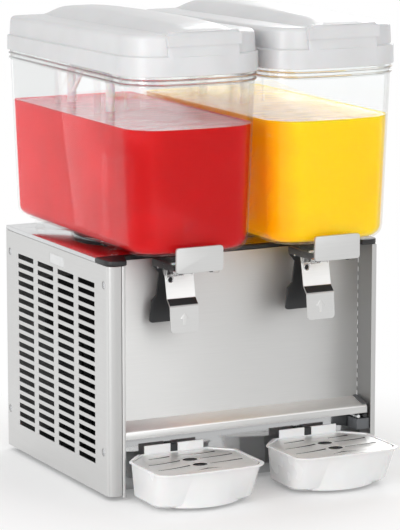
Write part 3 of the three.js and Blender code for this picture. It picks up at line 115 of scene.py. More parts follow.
class LidSizes(PropertyGroup):
    flange: length("Skirt", "Height of the lid's skirt at its back", 20)
    wedge: length("Wedge", "How much taller the body is at its front", 8.5)
    step: length("Step", "How far the body is set in over the skirt", 3.5)
    shoulder: length("Shoulder", "Radius of the upper edge", 7)
    height: length("Height", "Height of the shelf over the lid's foot, at the back", 46)
    wall: length("Wall", "Thickness of the lid", 2.4)
    ridge_half: length("Ridge foot", "Half the width of the raised middle at its foot", 53)
    crest_half: length("Ridge crest", "Half the width of the raised middle's crest", 25)
    nose_half: length("Nose", "Half the width of the flat nose at the front", 51.5)
    nose_height: length("Nose height", "Height of the nose over the lid's foot", 58)


class FinishColours(PropertyGroup):
    steel: colour("Stainless steel", "Brushed sheet", "#d6d6d5")
    polished: colour("Polished steel", "Mirror sheet", "#d4d5d6")
    lid: colour("Lid", "Moulded lid", "#cacacb")
    white: colour("White", "Trays and mixer wheels", "#e6e6e6")
    black: colour("Black", "Moulded black pieces", "#1d1e20")
    left_juice: colour("Left juice", "Red fruit drink", "#c2080f")
    right_juice: colour("Right juice", "Orange drink", "#ffd000")


class StageLook(PropertyGroup):
    lens: FloatProperty(name="Lens", description="Focal length on a 36 mm frame", default=202.4)
    key: FloatProperty(name="Key lamp", description="Power of the key lamp in watts", default=18.0)
    fill: FloatProperty(name="Fill lamps", description="Power of each fill lamp in watts", default=20.0)
    strip: FloatProperty(name="Strip lamp", description="Power of the narrow lamp in watts", default=3.0)
    world: FloatProperty(name="World", description="Strength of the even light", default=0.85)
    mirror: FloatProperty(name="Mirrored world", description="Strength of the world in reflections",
                          default=0.86)
    turns: IntProperty(name="Facets", description="Steps round a bowl's corner", default=12)


# Selection, edit mode and finishing

def deselect():
    if bpy.context.object and bpy.context.object.mode != "OBJECT":
        bpy.ops.object.mode_set(mode="OBJECT")
    bpy.ops.object.select_all(action="DESELECT")


def activate(obj):
    deselect()
    obj.select_set(True)
    bpy.context.view_layer.objects.active = obj
    return obj


def settle(obj):
    """Moves the object's place into its mesh."""
    activate(obj)
    bpy.ops.object.transform_apply(location=True, rotation=True, scale=True)
    return obj


def smooth(obj, degrees=35):
    activate(obj)
    bpy.ops.object.shade_smooth_by_angle(angle=math.radians(degrees))
    return obj


def apply(obj, modifier):
    activate(obj)
    bpy.ops.object.modifier_apply(modifier=modifier.name)
    return obj


def bevel(obj, width, segments=2, degrees=40):
    rounder = obj.modifiers.new("Edges", "BEVEL")
    rounder.width = width
    rounder.segments = segments
    rounder.limit_method = "ANGLE"
    rounder.angle_limit = math.radians(degrees)
    rounder.use_clamp_overlap = True
    return apply(obj, rounder)


def join_cut(obj, tool, operation="DIFFERENCE"):
    """Cuts obj with tool, or joins the two, and takes the tool away."""
    knife = obj.modifiers.new("Cut", "BOOLEAN")
    knife.operation = operation
    knife.object = tool
    knife.solver = "EXACT"
    apply(obj, knife)
    bpy.data.objects.remove(tool)
    return obj


def recalculate(obj):
    activate(obj)
    bpy.ops.object.mode_set(mode="EDIT")
    bpy.ops.mesh.select_all(action="SELECT")
    bpy.ops.mesh.normals_make_consistent(inside=False)
    bpy.ops.object.mode_set(mode="OBJECT")
    return obj


def spot(point):
    return tuple(round(c, 7) for c in point)


def loft(name, rings):
    """A filled circle, shaped to the first ring and extruded through all the others."""
    deselect()
    bpy.ops.mesh.primitive_circle_add(vertices=len(rings[0]), radius=1, fill_type="NGON")
    obj = bpy.context.object
    obj.name = name
    bpy.ops.object.mode_set(mode="EDIT")
    bpy.ops.mesh.select_mode(type="FACE")
    mesh = bmesh.from_edit_mesh(obj.data)
    for vertex, place in zip(list(mesh.faces)[0].verts, rings[0]):
        vertex.co = place
    bmesh.update_edit_mesh(obj.data)
    for last, ring in zip(rings, rings[1:]):
        order = {spot(point): i for i, point in enumerate(last)}
        bpy.ops.mesh.extrude_region_move(TRANSFORM_OT_translate={"value": (0, 0, 0)})
        mesh = bmesh.from_edit_mesh(obj.data)
        face = next(f for f in mesh.faces if f.select)
        for vertex in face.verts:
            vertex.co = ring[order[spot(vertex.co)]]
        bmesh.update_edit_mesh(obj.data)
    bpy.ops.object.mode_set(mode="OBJECT")
    return recalculate(obj)


def close_ring(obj):
    """Turns a loft whose ends are two filled outlines at one height into a closed band."""
    activate(obj)
    bpy.ops.object.mode_set(mode="EDIT")
    bpy.ops.mesh.select_mode(type="FACE")
    bpy.ops.mesh.select_all(action="DESELECT")
    mesh = bmesh.from_edit_mesh(obj.data)
    for face in sorted(mesh.faces, key=lambda f: len(f.verts))[-2:]:
        face.select = True
    bmesh.update_edit_mesh(obj.data)
    bpy.ops.mesh.bridge_edge_loops()
    bpy.ops.object.mode_set(mode="OBJECT")
    return recalculate(obj)


def refine(node, name, width, segments=2, degrees=40, smooth_degrees=35):
    """A copy of a frame node with its facets joined up and its edges rounded."""
    source = frame["nodes"][node]
    obj = source.copy()
    obj.data = source.data.copy()
    obj.parent = None
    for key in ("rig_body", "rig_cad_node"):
        del obj[key]
    bpy.context.scene.collection.objects.link(obj)
    obj.name = name
    obj.data.materials.clear()
    activate(obj)
    bpy.ops.mesh.customdata_custom_splitnormals_clear()
    bpy.ops.object.mode_set(mode="EDIT")
    bpy.ops.mesh.select_all(action="SELECT")
    bpy.ops.mesh.remove_doubles(threshold=0.01 * MM)
    bpy.ops.mesh.dissolve_limited(angle_limit=math.radians(1))
    bpy.ops.object.mode_set(mode="OBJECT")
    if width:
        bevel(obj, width, segments, degrees)
    return smooth(obj, smooth_degrees)


def finish(obj, material, body, slot, *nodes):
    """Gives a piece its material, the body it moves with and the nodes it stands for."""
    obj.data.materials.clear()
    obj.data.materials.append(material)
    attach(obj, body)
    if nodes:
        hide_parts(*nodes)
    return obj


def dress(node, name, material, body, slot, *edges):
    """Refines a frame node and lets the result stand for it."""
    return finish(refine(node, name, *edges), finishes()[material], body, slot, node)


def finish_faces(obj, material, chosen):
    """Gives the faces that pass a test another material.

    A normal's part along an axis runs from -1 to 1, which is how far a face is turned that way.
    """
    obj.data.materials.append(material)
    place = len(obj.data.materials) - 1
    for face in obj.data.polygons:
        if chosen(face):
            face.material_index = place


def paint(node, material):
    """Gives a frame node that stays in view its material."""
    place = frame["nodes"][node].material_slots[0]
    place.link = "OBJECT"
    place.material = material


def block(name, low, high):
    """A cube primitive between two corners, with its place in its mesh."""
    deselect()
    low, high = Vector(low), Vector(high)
    bpy.ops.mesh.primitive_cube_add(size=1, location=(low + high) / 2, scale=high - low)
    bpy.context.object.name = name
    return settle(bpy.context.object)


def rod(name, start, end, radius, sides=24, end_radius=None):
    """A cylinder or cone primitive from one point to another, with its place in its mesh."""
    deselect()
    start, end = Vector(start), Vector(end)
    turn = (end - start).to_track_quat("Z", "Y").to_euler()
    bpy.ops.mesh.primitive_cone_add(vertices=sides, radius1=radius,
                                    radius2=radius if end_radius is None else end_radius,
                                    depth=(end - start).length, location=(start + end) / 2, rotation=turn)
    bpy.context.object.name = name
    return settle(bpy.context.object)


def post(name, place, low, high, *shape):
    """A rod that stands upright at a place."""
    return rod(name, (place.x, place.y, low), (place.x, place.y, high), *shape)


def hoop(centre, across, up, sides=24):
    """Points of a circle round a place, from its radii along two directions."""
    angles = [2 * math.pi * i / sides for i in range(sides)]
    return [centre + math.cos(a) * across + math.sin(a) * up for a in angles]


def swept(name, points, radius, sides):
    """A round tube through points that lie in one plane of equal X."""
    across = Vector((1, 0, 0))
    rings = []
    for i, point in enumerate(points):
        before, after = points[max(i - 1, 0)], points[min(i + 1, len(points) - 1)]
        up = (after - before).normalized().cross(across)
        rings.append(hoop(point, radius * across, radius * up, sides))
    return loft(name, rings)


def torus(name, place, axis, radius, thickness):
    """A closed ring of round wire whose axis is X or Y, with its place in its mesh."""
    deselect()
    turn = (0, math.pi / 2, 0) if axis == "X" else (math.pi / 2, 0, 0)
    bpy.ops.mesh.primitive_torus_add(location=place, rotation=turn, major_radius=radius,
                                     minor_radius=thickness, major_segments=28, minor_segments=10)
    bpy.context.object.name = name
    return smooth(settle(bpy.context.object), 60)


# Materials

def add(tree, kind, settings=None, **inputs):
    """Adds a node with its settings, and sets or links its inputs.

    An input's name has _ for each space, and i2 means the third input.
    """
    node = tree.nodes.new("ShaderNode" + kind)
    for key, value in (settings or {}).items():
        setattr(node, key, value)
    for key, value in inputs.items():
        numbered = key[0] == "i" and key[1:].isdigit()
        socket = node.inputs[int(key[1:]) if numbered else key.replace("_", " ")]
        if isinstance(value, bpy.types.NodeSocket):
            tree.links.new(value, socket)
        else:
            socket.default_value = value
    return node


def blank(name):
    """A new material, its empty node tree and the place on the object."""
    material = bpy.data.materials.new(name)
    material.use_nodes = True
    tree = material.node_tree
    tree.nodes.clear()
    return material, tree, add(tree, "TexCoord").outputs["Object"]


def surface(tree, **inputs):
    """Ends a material with its shader and its output."""
    shader = add(tree, "BsdfPrincipled", **inputs)
    add(tree, "OutputMaterial", Surface=shader.outputs["BSDF"])


def rgba(shade, share=1.0):
    return (*[c * share for c in shade], 1)


def brushed_stainless(name, axis, steel, tone=1.0):
    """Stainless sheet, belt brushed: fine grey lines along one axis and a soft, drawn out shine.

    Real brush lines are too fine to show, so they are drawn 0.9 mm wide.
    """
    material, tree, place = blank(name)
    scale = [1 / (0.9 * MM)] * 3
    scale["XYZ".index(axis)] = 1 / (60 * MM)
    drawn = add(tree, "Mapping", Vector=place, Scale=scale).outputs["Vector"]
    lines = add(tree, "TexNoise", Vector=drawn, Scale=1.0, Detail=3.0, Roughness=0.6).outputs["Fac"]
    broad = add(tree, "TexNoise", Vector=place, Scale=1 / (140 * MM)).outputs["Fac"]
    share = add(tree, "MapRange", Value=lines, From_Min=0.3, From_Max=0.7)
    base = add(tree, "Mix", {"data_type": "RGBA"}, i0=share.outputs["Result"],
               i6=rgba(steel, 0.97 * tone), i7=rgba(steel, 1.02 * tone))
    fine = add(tree, "MapRange", Value=lines, From_Min=0.25, From_Max=0.75, To_Min=0.40, To_Max=0.46)
    wide = add(tree, "MapRange", Value=broad, From_Min=0.3, From_Max=0.7, To_Min=-0.02, To_Max=0.03)
    rough = add(tree, "Math", {"operation": "ADD"}, i0=fine.outputs["Result"], i1=wide.outputs["Result"])
    relief = add(tree, "Bump", Height=lines, Distance=0.02 * MM, Strength=0.2)
    surface(tree, Base_Color=base.outputs[2], Metallic=0.85, Roughness=rough.outputs["Value"],
            Normal=relief.outputs["Normal"])
    return material


def mirror_stainless(name, polished, tone=1.0):
    """Stainless sheet, mirror polished: a clear reflection with faint wipe marks and waves."""
    material, tree, place = blank(name)
    drawn = add(tree, "Mapping", Vector=place, Scale=(1 / (50 * MM), 1 / (6 * MM), 1 / (6 * MM)))
    wipes = add(tree, "TexNoise", Vector=drawn.outputs["Vector"], Scale=1.0, Detail=4.0, Roughness=0.6)
    rough = add(tree, "MapRange", Value=wipes.outputs["Fac"], From_Min=0.3, From_Max=0.75, To_Min=0.05,
                To_Max=0.16)
    waves = add(tree, "TexNoise", Vector=place, Scale=1 / (90 * MM), Detail=1.0).outputs["Fac"]
    relief = add(tree, "Bump", Height=waves, Distance=0.25 * MM, Strength=0.2)
    surface(tree, Base_Color=rgba(polished, tone), Metallic=1.0, Roughness=rough.outputs["Result"],
            Normal=relief.outputs["Normal"])
    return material


def clear_polycarbonate(name, body, bend):
    """Injection moulded polycarbonate: water clear, with a smooth skin and faint flow waves.

    The thin walls bend light little, and the thick rim shows dark and bright lines.
    """
    material, tree, place = blank(name)
    waves = add(tree, "TexNoise", Vector=place, Scale=1 / (45 * MM), Detail=1.0).outputs["Fac"]
    relief = add(tree, "Bump", Height=waves, Distance=0.03 * MM, Strength=0.06)
    surface(tree, Base_Color=rgba(linear("#f6fafa")), Roughness=0.0, IOR=bend, Alpha=body,
            Transmission_Weight=1.0, Coat_Weight=0.6, Coat_Roughness=0.02, Normal=relief.outputs["Normal"])
    return material


def juice(name, painted_light_tones, axis, low, high, spread, painted_glows, top_painted_reflection):
    """Fruit drink, dense, with painted light and shade: its colour runs from a deep tone at one wall to a
    lighter one at the other, and an emission paints a glow from within.

    Only the upper side is wet and rippled and mirrors the light over it; its paler colour is a painted
    reflection.
    """
    material, tree, place = blank(name)
    clouds = add(tree, "TexNoise", Vector=place, Scale=1 / (70 * MM)).outputs["Fac"]
    along = add(tree, "SeparateXYZ", Vector=place).outputs[axis]
    # Painted light and shade: a gradient along one axis, with random clouds added.
    even = add(tree, "MapRange", Value=along, From_Min=low, From_Max=high)
    uneven = add(tree, "MapRange", Value=clouds, From_Min=0.3, From_Max=0.7, To_Min=-0.2, To_Max=0.2)
    share = add(tree, "Math", {"operation": "ADD"}, i0=even.outputs["Result"],
                i1=uneven.outputs["Result"]).outputs["Value"]
    # A deep and a light tone along the gradient, and the painted glow colours for the emission.
    base, glow = [add(tree, "Mix", {"data_type": "RGBA"}, i0=share, i6=rgba(near), i7=rgba(far)).outputs[2]
                  for near, far in (painted_light_tones, painted_glows)]
    normal = add(tree, "NewGeometry").outputs["Normal"]
    upward = add(tree, "SeparateXYZ", Vector=normal).outputs["Z"]
    top = add(tree, "Math", {"operation": "GREATER_THAN"}, i0=upward, i1=0.6).outputs["Value"]
    # Painted reflection: the upward faces get the paler top colour.
    painted_light_skin = add(tree, "Mix", {"data_type": "RGBA"}, i0=top, i6=base, i7=rgba(top_painted_reflection)).outputs[2]
    drawn = add(tree, "Mapping", Vector=place, Scale=(1 / (45 * MM), 1 / (16 * MM), 1 / (16 * MM)))
    ripple = add(tree, "TexNoise", Vector=drawn.outputs["Vector"], Scale=1.0).outputs["Fac"]
    wave = add(tree, "Bump", Height=ripple, Distance=7 * MM, Strength=0.8)
    surface(tree, Base_Color=painted_light_skin, Roughness=0.08, IOR=1.34, Specular_IOR_Level=0.05, Alpha=0.88,
            Subsurface_Weight=1.0, Subsurface_Radius=spread, Subsurface_Scale=45 * MM, Emission_Color=glow,
            Emission_Strength=1.0, Coat_Weight=top, Coat_Roughness=0.04, Coat_IOR=1.2,
            Coat_Normal=wave.outputs["Normal"])
    return material


def moulded(name, tone, roughness, grain, depth, coat=0.0, subsurface=0.0):
    """Injection moulded plastic: even colour, spark eroded grain and slightly uneven shine."""
    material, tree, place = blank(name)
    patches = add(tree, "TexNoise", Vector=place, Scale=1 / (55 * MM)).outputs["Fac"]
    share = add(tree, "MapRange", Value=patches, From_Min=0.3, From_Max=0.7).outputs["Result"]
    base = add(tree, "Mix", {"data_type": "RGBA"}, i0=share, i6=rgba(tone, 0.96), i7=rgba(tone, 1.03))
    rough = add(tree, "MapRange", Value=patches, From_Min=0.25, From_Max=0.75, To_Min=roughness - 0.04,
                To_Max=roughness + 0.05)
    grains = add(tree, "TexNoise", Vector=place, Scale=1 / grain).outputs["Fac"]
    relief = add(tree, "Bump", Height=grains, Distance=depth, Strength=0.35)
    surface(tree, Base_Color=base.outputs[2], Roughness=rough.outputs["Result"], Coat_Weight=coat,
            Subsurface_Weight=subsurface, Subsurface_Scale=4 * MM, Normal=relief.outputs["Normal"])
    return material


def black_enamel(name):
    """Stoved black enamel on steel: a dull shine with a light orange peel."""
    material, tree, place = blank(name)
    peel = add(tree, "TexNoise", Vector=place, Scale=1 / (2.5 * MM)).outputs["Fac"]
    rough = add(tree, "MapRange", Value=peel, From_Min=0.3, From_Max=0.7, To_Min=0.5, To_Max=0.6)
    relief = add(tree, "Bump", Height=peel, Distance=0.08 * MM, Strength=0.3)
    surface(tree, Base_Color=rgba(linear("#242628")), Roughness=rough.outputs["Result"],
            Normal=relief.outputs["Normal"])
    return material


def galvanised(name):
    """Hot dipped sheet: grey zinc with large spangles of differing shine."""
    material, tree, place = blank(name)
    spangle = add(tree, "TexVoronoi", Vector=place, Scale=1 / (11 * MM)).outputs["Color"]
    grey = add(tree, "RGBToBW", Color=spangle).outputs["Val"]
    base = add(tree, "Mix", {"data_type": "RGBA"}, i0=grey, i6=rgba(linear("#7f8283")),
               i7=rgba(linear("#a0a4a6")))
    rough = add(tree, "MapRange", Value=grey, To_Min=0.35, To_Max=0.6)
    surface(tree, Base_Color=base.outputs[2], Metallic=1.0, Roughness=rough.outputs["Result"])
    return material


def label_film(name):
    """Pale polyester label: satin film with faint creases."""
    material, tree, place = blank(name)
    creases = add(tree, "TexNoise", Vector=place, Scale=1 / (9 * MM), Detail=3.0).outputs["Fac"]
    base = add(tree, "Mix", {"data_type": "RGBA"}, i0=creases, i6=rgba(linear("#c9caca")),
               i7=rgba(linear("#dadbdb")))
    relief = add(tree, "Bump", Height=creases, Distance=0.05 * MM, Strength=0.3)
    surface(tree, Base_Color=base.outputs[2], Roughness=0.45, Normal=relief.outputs["Normal"])
    return material


def ray_share(tree, *kinds):
    """1 for rays of the kinds named, and 0 for others."""
    rays = add(tree, "LightPath").outputs
    share = rays[f"Is {kinds[0]} Ray"]
    for kind in kinds[1:]:
        both = add(tree, "Math", {"operation": "MAXIMUM"}, i0=share, i1=rays[f"Is {kind} Ray"])
        share = both.outputs["Value"]
    return share


def white_floor(name):
    """Pale studio floor: white to the camera and in reflections, with the object's shadow kept."""
    material, tree, place = blank(name)
    away = add(tree, "VectorMath", {"operation": "LENGTH"}, Vector=place).outputs["Value"]
    clear = add(tree, "MapRange", Value=away, From_Min=0.28, From_Max=0.55, To_Min=0.2, To_Max=1.0)
    share = add(tree, "Math", {"operation": "MULTIPLY"}, i1=clear.outputs["Result"],
                i0=ray_share(tree, "Camera", "Glossy", "Transmission"))
    plain = add(tree, "BsdfDiffuse", Color=(0.86, 0.86, 0.86, 1))
    glow = add(tree, "Emission", Color=(1, 1, 1, 1), Strength=1.0)
    mix = add(tree, "MixShader", i0=share.outputs["Value"], i1=plain.outputs["BSDF"],
              i2=glow.outputs["Emission"])
    add(tree, "OutputMaterial", Surface=mix.outputs["Shader"])
    return material


FINISHES = {}


def finishes():
    """Every material of the object, made once."""
    if FINISHES:
        return FINISHES
    colours = bpy.context.scene.dispenser_colours
    steel, polished = colours.steel, colours.polished
    FINISHES.update(
        steel_x=brushed_stainless("stainless_brushed_across", "X", steel, 0.94),
        steel_y=brushed_stainless("stainless_brushed_along", "Y", steel),
        steel_z=brushed_stainless("stainless_brushed_upright", "Z", steel),
        # Brushed steel 1.42 times as bright: a painted highlight, given to the lip's upward faces, the
        # plate's upper half and the grates.
        steel_lip=brushed_stainless("stainless_brushed_painted_highlight", "X", steel, 1.42),
        # Brushed steel at 0.8: painted shade on the posts' front faces.
        steel_post=brushed_stainless("stainless_brushed_post_painted_shade", "Z", steel, 0.8),
        # Brushed steel at 0.42: painted shade in recesses, on the posts' inner faces, the front panel's
        # end faces and the plate's sides.
        steel_recess=brushed_stainless("stainless_brushed_painted_shade", "Z", steel, 0.42),
        mirror=mirror_stainless("stainless_mirror_polished", polished),
        # Polished steel at 0.72: painted shade on the lower front panel under the lip.
        mirror_shade=mirror_stainless("stainless_mirror_painted_shade", polished, 0.72),
        clear=clear_polycarbonate("polycarbonate_clear", 0.24, 1.08),
        rim=clear_polycarbonate("polycarbonate_clear_rim", 0.75, 1.49),
        # Each drink: the deep and light tones of a painted light gradient, its subsurface spread, two
        # painted glow colours and the painted reflection on its top.
        red=juice("juice_red_fruit", (colours.left_juice, linear("#ff3038")), "Y", -0.16, 0.2,
                  (1.0, 0.1, 0.1), ((0.02, 0.0, 0.0), (0.05, 0.0, 0.0)), linear("#ff7484")),
        orange=juice("juice_orange", (linear("#ff9800"), colours.right_juice), "X", 0.005, 0.05,
                     (1.0, 0.6, 0.1), ((0.35, 0.08, 0.0), (0.14, 0.06, 0.0)), linear("#ffdc50")),
        tube=moulded("polypropylene_white", linear("#f0f0f0"), 0.3, 0.9 * MM, 0.01 * MM, 0.0, 0.5),
        lid=moulded("abs_pale_grey_satin", colours.lid, 0.34, 0.8 * MM, 0.01 * MM, 0.15, 0.1),
        white=moulded("abs_white_gloss", colours.white, 0.24, 0.9 * MM, 0.01 * MM, 0.25, 0.1),
        black=moulded("nylon_black_grained", colours.black, 0.42, 0.5 * MM, 0.03 * MM),
        rubber=moulded("rubber_black_matt", linear("#151617"), 0.75, 0.7 * MM, 0.05 * MM),
        foam=moulded("foam_black_open_cell", linear("#101011"), 0.85, 1.6 * MM, 0.6 * MM),
        spacer=moulded("nylon_grey", linear("#5a5c5f"), 0.5, 0.6 * MM, 0.03 * MM),
        enamel=black_enamel("enamel_black_stoved"),
        zinc=galvanised("steel_galvanised"),
        label=label_film("label_white_film"),
    )
    return FINISHES


# Places that follow from the frame

def bowl(side):
    """The bowl's middle, its lid's half width, its front without the bow, and its back."""
    low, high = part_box(f"{side}_lid")
    return ((low.x + high.x) / 2, (high.x - low.x) / 2,
            low.y + bpy.context.scene.dispenser_bowl.bow, high.y)


def deck_top():
    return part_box("top_deck")[1].z


def bowl_floor():
    return deck_top() + bpy.context.scene.dispenser_bowl.gap


def rim_top(side):
    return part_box(f"{side}_lid")[0].z + bpy.context.scene.dispenser_bowl.lid_overlap


def rim_foot(side):
    """The height at which the plain bowl ends and its thicker rim begins, under the two ribs."""
    sizes = bpy.context.scene.dispenser_bowl
    ribs = rim_top(side) - sizes.lid_overlap - sizes.rib_gap - 2 * (sizes.rib_height + sizes.rib_gap)
    return ribs + 1.8 * MM


def arc(centre_x, centre_y, radius, start, steps):
    """Points of a quarter turn that starts at an angle in degrees."""
    angles = [math.radians(start + 90 * i / steps) for i in range(steps + 1)]
    return [(centre_x + radius * math.cos(a), centre_y + radius * math.sin(a)) for a in angles]


def bowl_plan(side, inset):
    """The outline of the lid's foot, set in by a distance: long, rounded and bowed at the front."""
    sizes = bpy.context.scene.dispenser_bowl
    steps = bpy.context.scene.dispenser_stage.turns
    middle, half, front, back = bowl(side)
    width = half - inset
    low, high = front + inset, back - inset
    near = max(sizes.front_radius + sizes.lid_reach - inset, width / 8)
    far = max(sizes.back_radius + sizes.lid_reach - inset, width / 16)
    straight, parts = 2 * (width - near), 8
    points = arc(middle - width + near, low + near, near, 180, steps)
    points += [(middle - width + near + straight * i / parts, low) for i in range(1, parts)]
    points += arc(middle + width - near, low + near, near, 270, steps)
    points += arc(middle + width - far, high - far, far, 0, steps // 2)
    points += arc(middle - width + far, high - far, far, 90, steps // 2)
    bowed = []
    for x, y in points:
        share = (x - middle) / width
        fade = min(1, max(0, (low + near - y) / near))
        bowed.append((x, y - sizes.bow * (1 - share * share) * fade))
    return bowed


def lid_rise(side, y):
    """How much higher the wedge-shaped lid is at a place along it than at its back."""
    _, _, front, back = bowl(side)
    return bpy.context.scene.dispenser_lid.wedge * (back - y) / (back - front)


def level(side, inset, z, share=0.0):
    """The outline at a height, which may rise to the front by a share of the lid's wedge."""
    _, _, front, back = bowl(side)
    slope = share * bpy.context.scene.dispenser_lid.wedge / (back - front)
    return [Vector((x, y, z + slope * (back - y))) for x, y in bowl_plan(side, inset)]


def wall_ring(side, z, inset=0.0):
    """The bowl's outline at a height, set in from its outer face. The walls lean out to the rim."""
    sizes = bpy.context.scene.dispenser_bowl
    floor, top = bowl_floor(), rim_top(side)
    lean = sizes.draft * (1 - (z - floor) / (top - floor))
    return level(side, sizes.lid_reach + lean + inset, z)


def floor_rings(side, inset, radius, steps):
    """The rounded edge from the floor to the wall, set in from the bowl's outer face."""
    low = bowl_floor() + inset
    angles = [math.radians(90 * i / steps) for i in range(steps + 1)]
    return [wall_ring(side, low + radius * (1 - math.cos(a)), inset + radius * (1 - math.sin(a)))
            for a in angles]


# Pieces

def make_cabinet():
    """The sheet metal, trim and feet of the cabinet."""
    look = finishes()
    fold = 0.35 * MM
    low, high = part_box("front_panel")
    post_start = high.x - 4 * MM
    for side, inward in zip(SIDES, (1, -1)):
        panel = refine(f"{side}_side_panel", f"{side}_side_sheet", fold, 1, 60, 30)
        sink_details(side, panel)
        smooth(panel, 30)
        finish(panel, look["steel_y"], "cabinet", "brushed_stainless", f"{side}_side_panel")
        # Painted shade: the posts' inner faces get the darkest steel, and their front faces a darker
        # steel.
        finish_faces(panel, look["steel_recess"],
                     lambda f: f.normal.x * inward > 0.3 and abs(f.center.x) > post_start)
        finish_faces(panel, look["steel_post"],
                     lambda f: f.normal.y < -0.6 and abs(f.center.x) > post_start)
        dress(f"{side}_tray_catch", f"{side}_tray_hook", "black", "cabinet", "black_plastic", 0.6 * MM)
    front = dress("front_panel", "front_sheet", "steel_x", "cabinet", "brushed_stainless", fold, 2, 60, 50)
    # Painted highlight on the front panel's upward faces, and painted shade on its end faces.
    finish_faces(front, look["steel_lip"], lambda f: f.normal.z > 0.5)
    finish_faces(front, look["steel_recess"], lambda f: abs(f.normal.x) > 0.25)
    # A black rubber strip behind the front panel's right end, which paints the shade in the seam.
    seam = block("seam_painted_shade", (high.x - 5 * MM, high.y + 0.2 * MM, low.z + 25 * MM),
                 (high.x + 0.2 * MM, high.y + 1.6 * MM, high.z - 4 * MM))
    bevel(seam, 0.2 * MM)
    finish(seam, look["rubber"], "cabinet", "black_rubber")
    sheets = (
        ("front_edge_strip", "edge_strip", "steel_z", "brushed_stainless", 0.3 * MM, 1, 60),
        # The lower panel takes the polished steel darkened as painted shade.
        ("lower_front_panel", "mirror_sheet", "mirror_shade", "polished_stainless", fold),
        ("back_panel", "back_sheet", "steel_x", "brushed_stainless", fold, 1, 60, 30),
        ("top_deck", "deck_sheet", "mirror", "polished_stainless", 0.8 * MM),
        ("deck_trim", "deck_edge_trim", "black", "black_plastic", 1.5 * MM, 3),
    )
    for node, name, material, slot, *edges in sheets:
        dress(node, name, material, "cabinet", slot, *edges)
    for end in ("front_left", "front_right", "back_left", "back_right"):
        dress(f"{end}_foot", f"{end}_puck", "rubber", "cabinet", "black_rubber", 0.8 * MM, 2, 30)


def make_machinery():
    """What the slots and the guard give a glimpse of."""
    look = finishes()
    paint("base_pan", look["zinc"])
    for node in ("condenser", "compressor", "fan_shroud", "fan_motor", "left_mixer_motor",
                 "right_mixer_motor"):
        paint(node, look["enamel"])
    low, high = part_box("condenser")
    seal = block("air_seal_foam", (low.x - 40 * MM, low.y + 6 * MM, high.z + 0.3 * MM),
                 (high.x + 24 * MM, low.y + 18 * MM, high.z + 82 * MM))
    bevel(seal, 3 * MM, 3)
    smooth(seal)
    finish(seal, look["foam"], "cabinet", "black_rubber")
    dress("fan_blades", "fan_wheel", "black", "fan", "black_plastic", 0.5 * MM, 2, 50)
    for side in SIDES:
        paint(f"{side}_seal_ring", look["rubber"])


def make_controls():
    """Switches, knob and gland on the back."""
    rows = (
        ("switch_bezel", "switch_surround", "cabinet"),
        ("cable_gland", "cable_nose", "cabinet"),
        ("thermostat_knob", "thermostat_dial", "thermostat"),
        ("main_switch", "main_rocker_cap", "main_rocker"),
        ("left_mixer_switch", "left_rocker_cap", "left_rocker"),
        ("right_mixer_switch", "right_rocker_cap", "right_rocker"),
    )
    for node, name, body in rows:
        dress(node, name, "black", body, "black_plastic", 0.4 * MM, 2, 35)


FLOOR_STEPS = 7
RIM_JOINT = 0.2 * MM


def bowl_rings(side):
    """Rings of the plain bowl: up the outside to the rim, then down the inside."""
    sizes = bpy.context.scene.dispenser_bowl
    edge = rim_foot(side) - RIM_JOINT
    inner = sizes.floor_radius - sizes.wall
    return [*floor_rings(side, 0.0, sizes.floor_radius, FLOOR_STEPS),
            wall_ring(side, edge), wall_ring(side, edge, sizes.wall),
            *reversed(floor_rings(side, sizes.wall, inner, FLOOR_STEPS))]


def rim_rings(side):
    """Rings of the thick rim: its foot, the two ribs, the rounded edge and the inside."""
    sizes = bpy.context.scene.dispenser_bowl
    top, foot, edge = rim_top(side), rim_foot(side), 0.6 * MM
    rings = [wall_ring(side, foot)]
    for count in (1, 0):
        rib_top = top - sizes.lid_overlap - sizes.rib_gap - count * (sizes.rib_height + sizes.rib_gap)
        rib_foot = rib_top - sizes.rib_height
        rings.append(wall_ring(side, rib_foot))
        for share in (0.15, 0.5, 0.85):
            swell = sizes.rib_reach * (1 - (2 * share - 1) ** 4)
            rings.append(wall_ring(side, rib_foot + share * sizes.rib_height, -swell))
        rings.append(wall_ring(side, rib_top))
    rings.append(wall_ring(side, top - sizes.rim_height + sizes.lid_overlap - sizes.rib_gap))
    for drop, inset in ((edge, -edge), (0, 0.1 * MM), (0, sizes.wall - edge), (edge, sizes.wall)):
        rings.append(wall_ring(side, top - drop, inset))
    rings.append(wall_ring(side, foot, sizes.wall))
    return rings


def make_jars():
    """Clear bowls with their collar, small feet, outlet and tap cheeks."""
    look = finishes()
    wall, floor, deck = bpy.context.scene.dispenser_bowl.wall, bowl_floor(), deck_top()
    facets = 64
    for side in SIDES:
        body = f"{side}_bowl"
        rim = loft(f"{side}_bowl_rim", rim_rings(side))
        close_ring(rim)
        smooth(rim, 40)
        finish(rim, look["rim"], body, "clear_polycarbonate")
        jar = loft(f"{side}_clear_bowl", bowl_rings(side))
        low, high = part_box(f"{side}_cooling_dome")
        axle = Vector((bowl(side)[0], ((low + high) / 2).y, 0))
        seal_low, seal_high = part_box(f"{side}_seal_ring")
        bore = (seal_high.x - seal_low.x) / 2 + 0.3 * MM
        join_cut(jar, post("hole", axle, floor - wall, floor + 3 * wall, bore, facets))
        smooth(jar, 40)
        finish(jar, look["clear"], body, "clear_polycarbonate", f"{side}_jar")
        collar = post(f"{side}_bowl_collar", axle, deck + 0.3 * MM, floor, bore + 4 * MM, facets)
        join_cut(collar, post("inside", axle, deck - 5 * MM, floor + 5 * MM, bore, facets))
        bevel(collar, 0.8 * MM)
        smooth(collar)
        finish(collar, look["clear"], body, "clear_polycarbonate")
        make_jar_feet(side, axle, floor)
        make_outlet(side, floor)


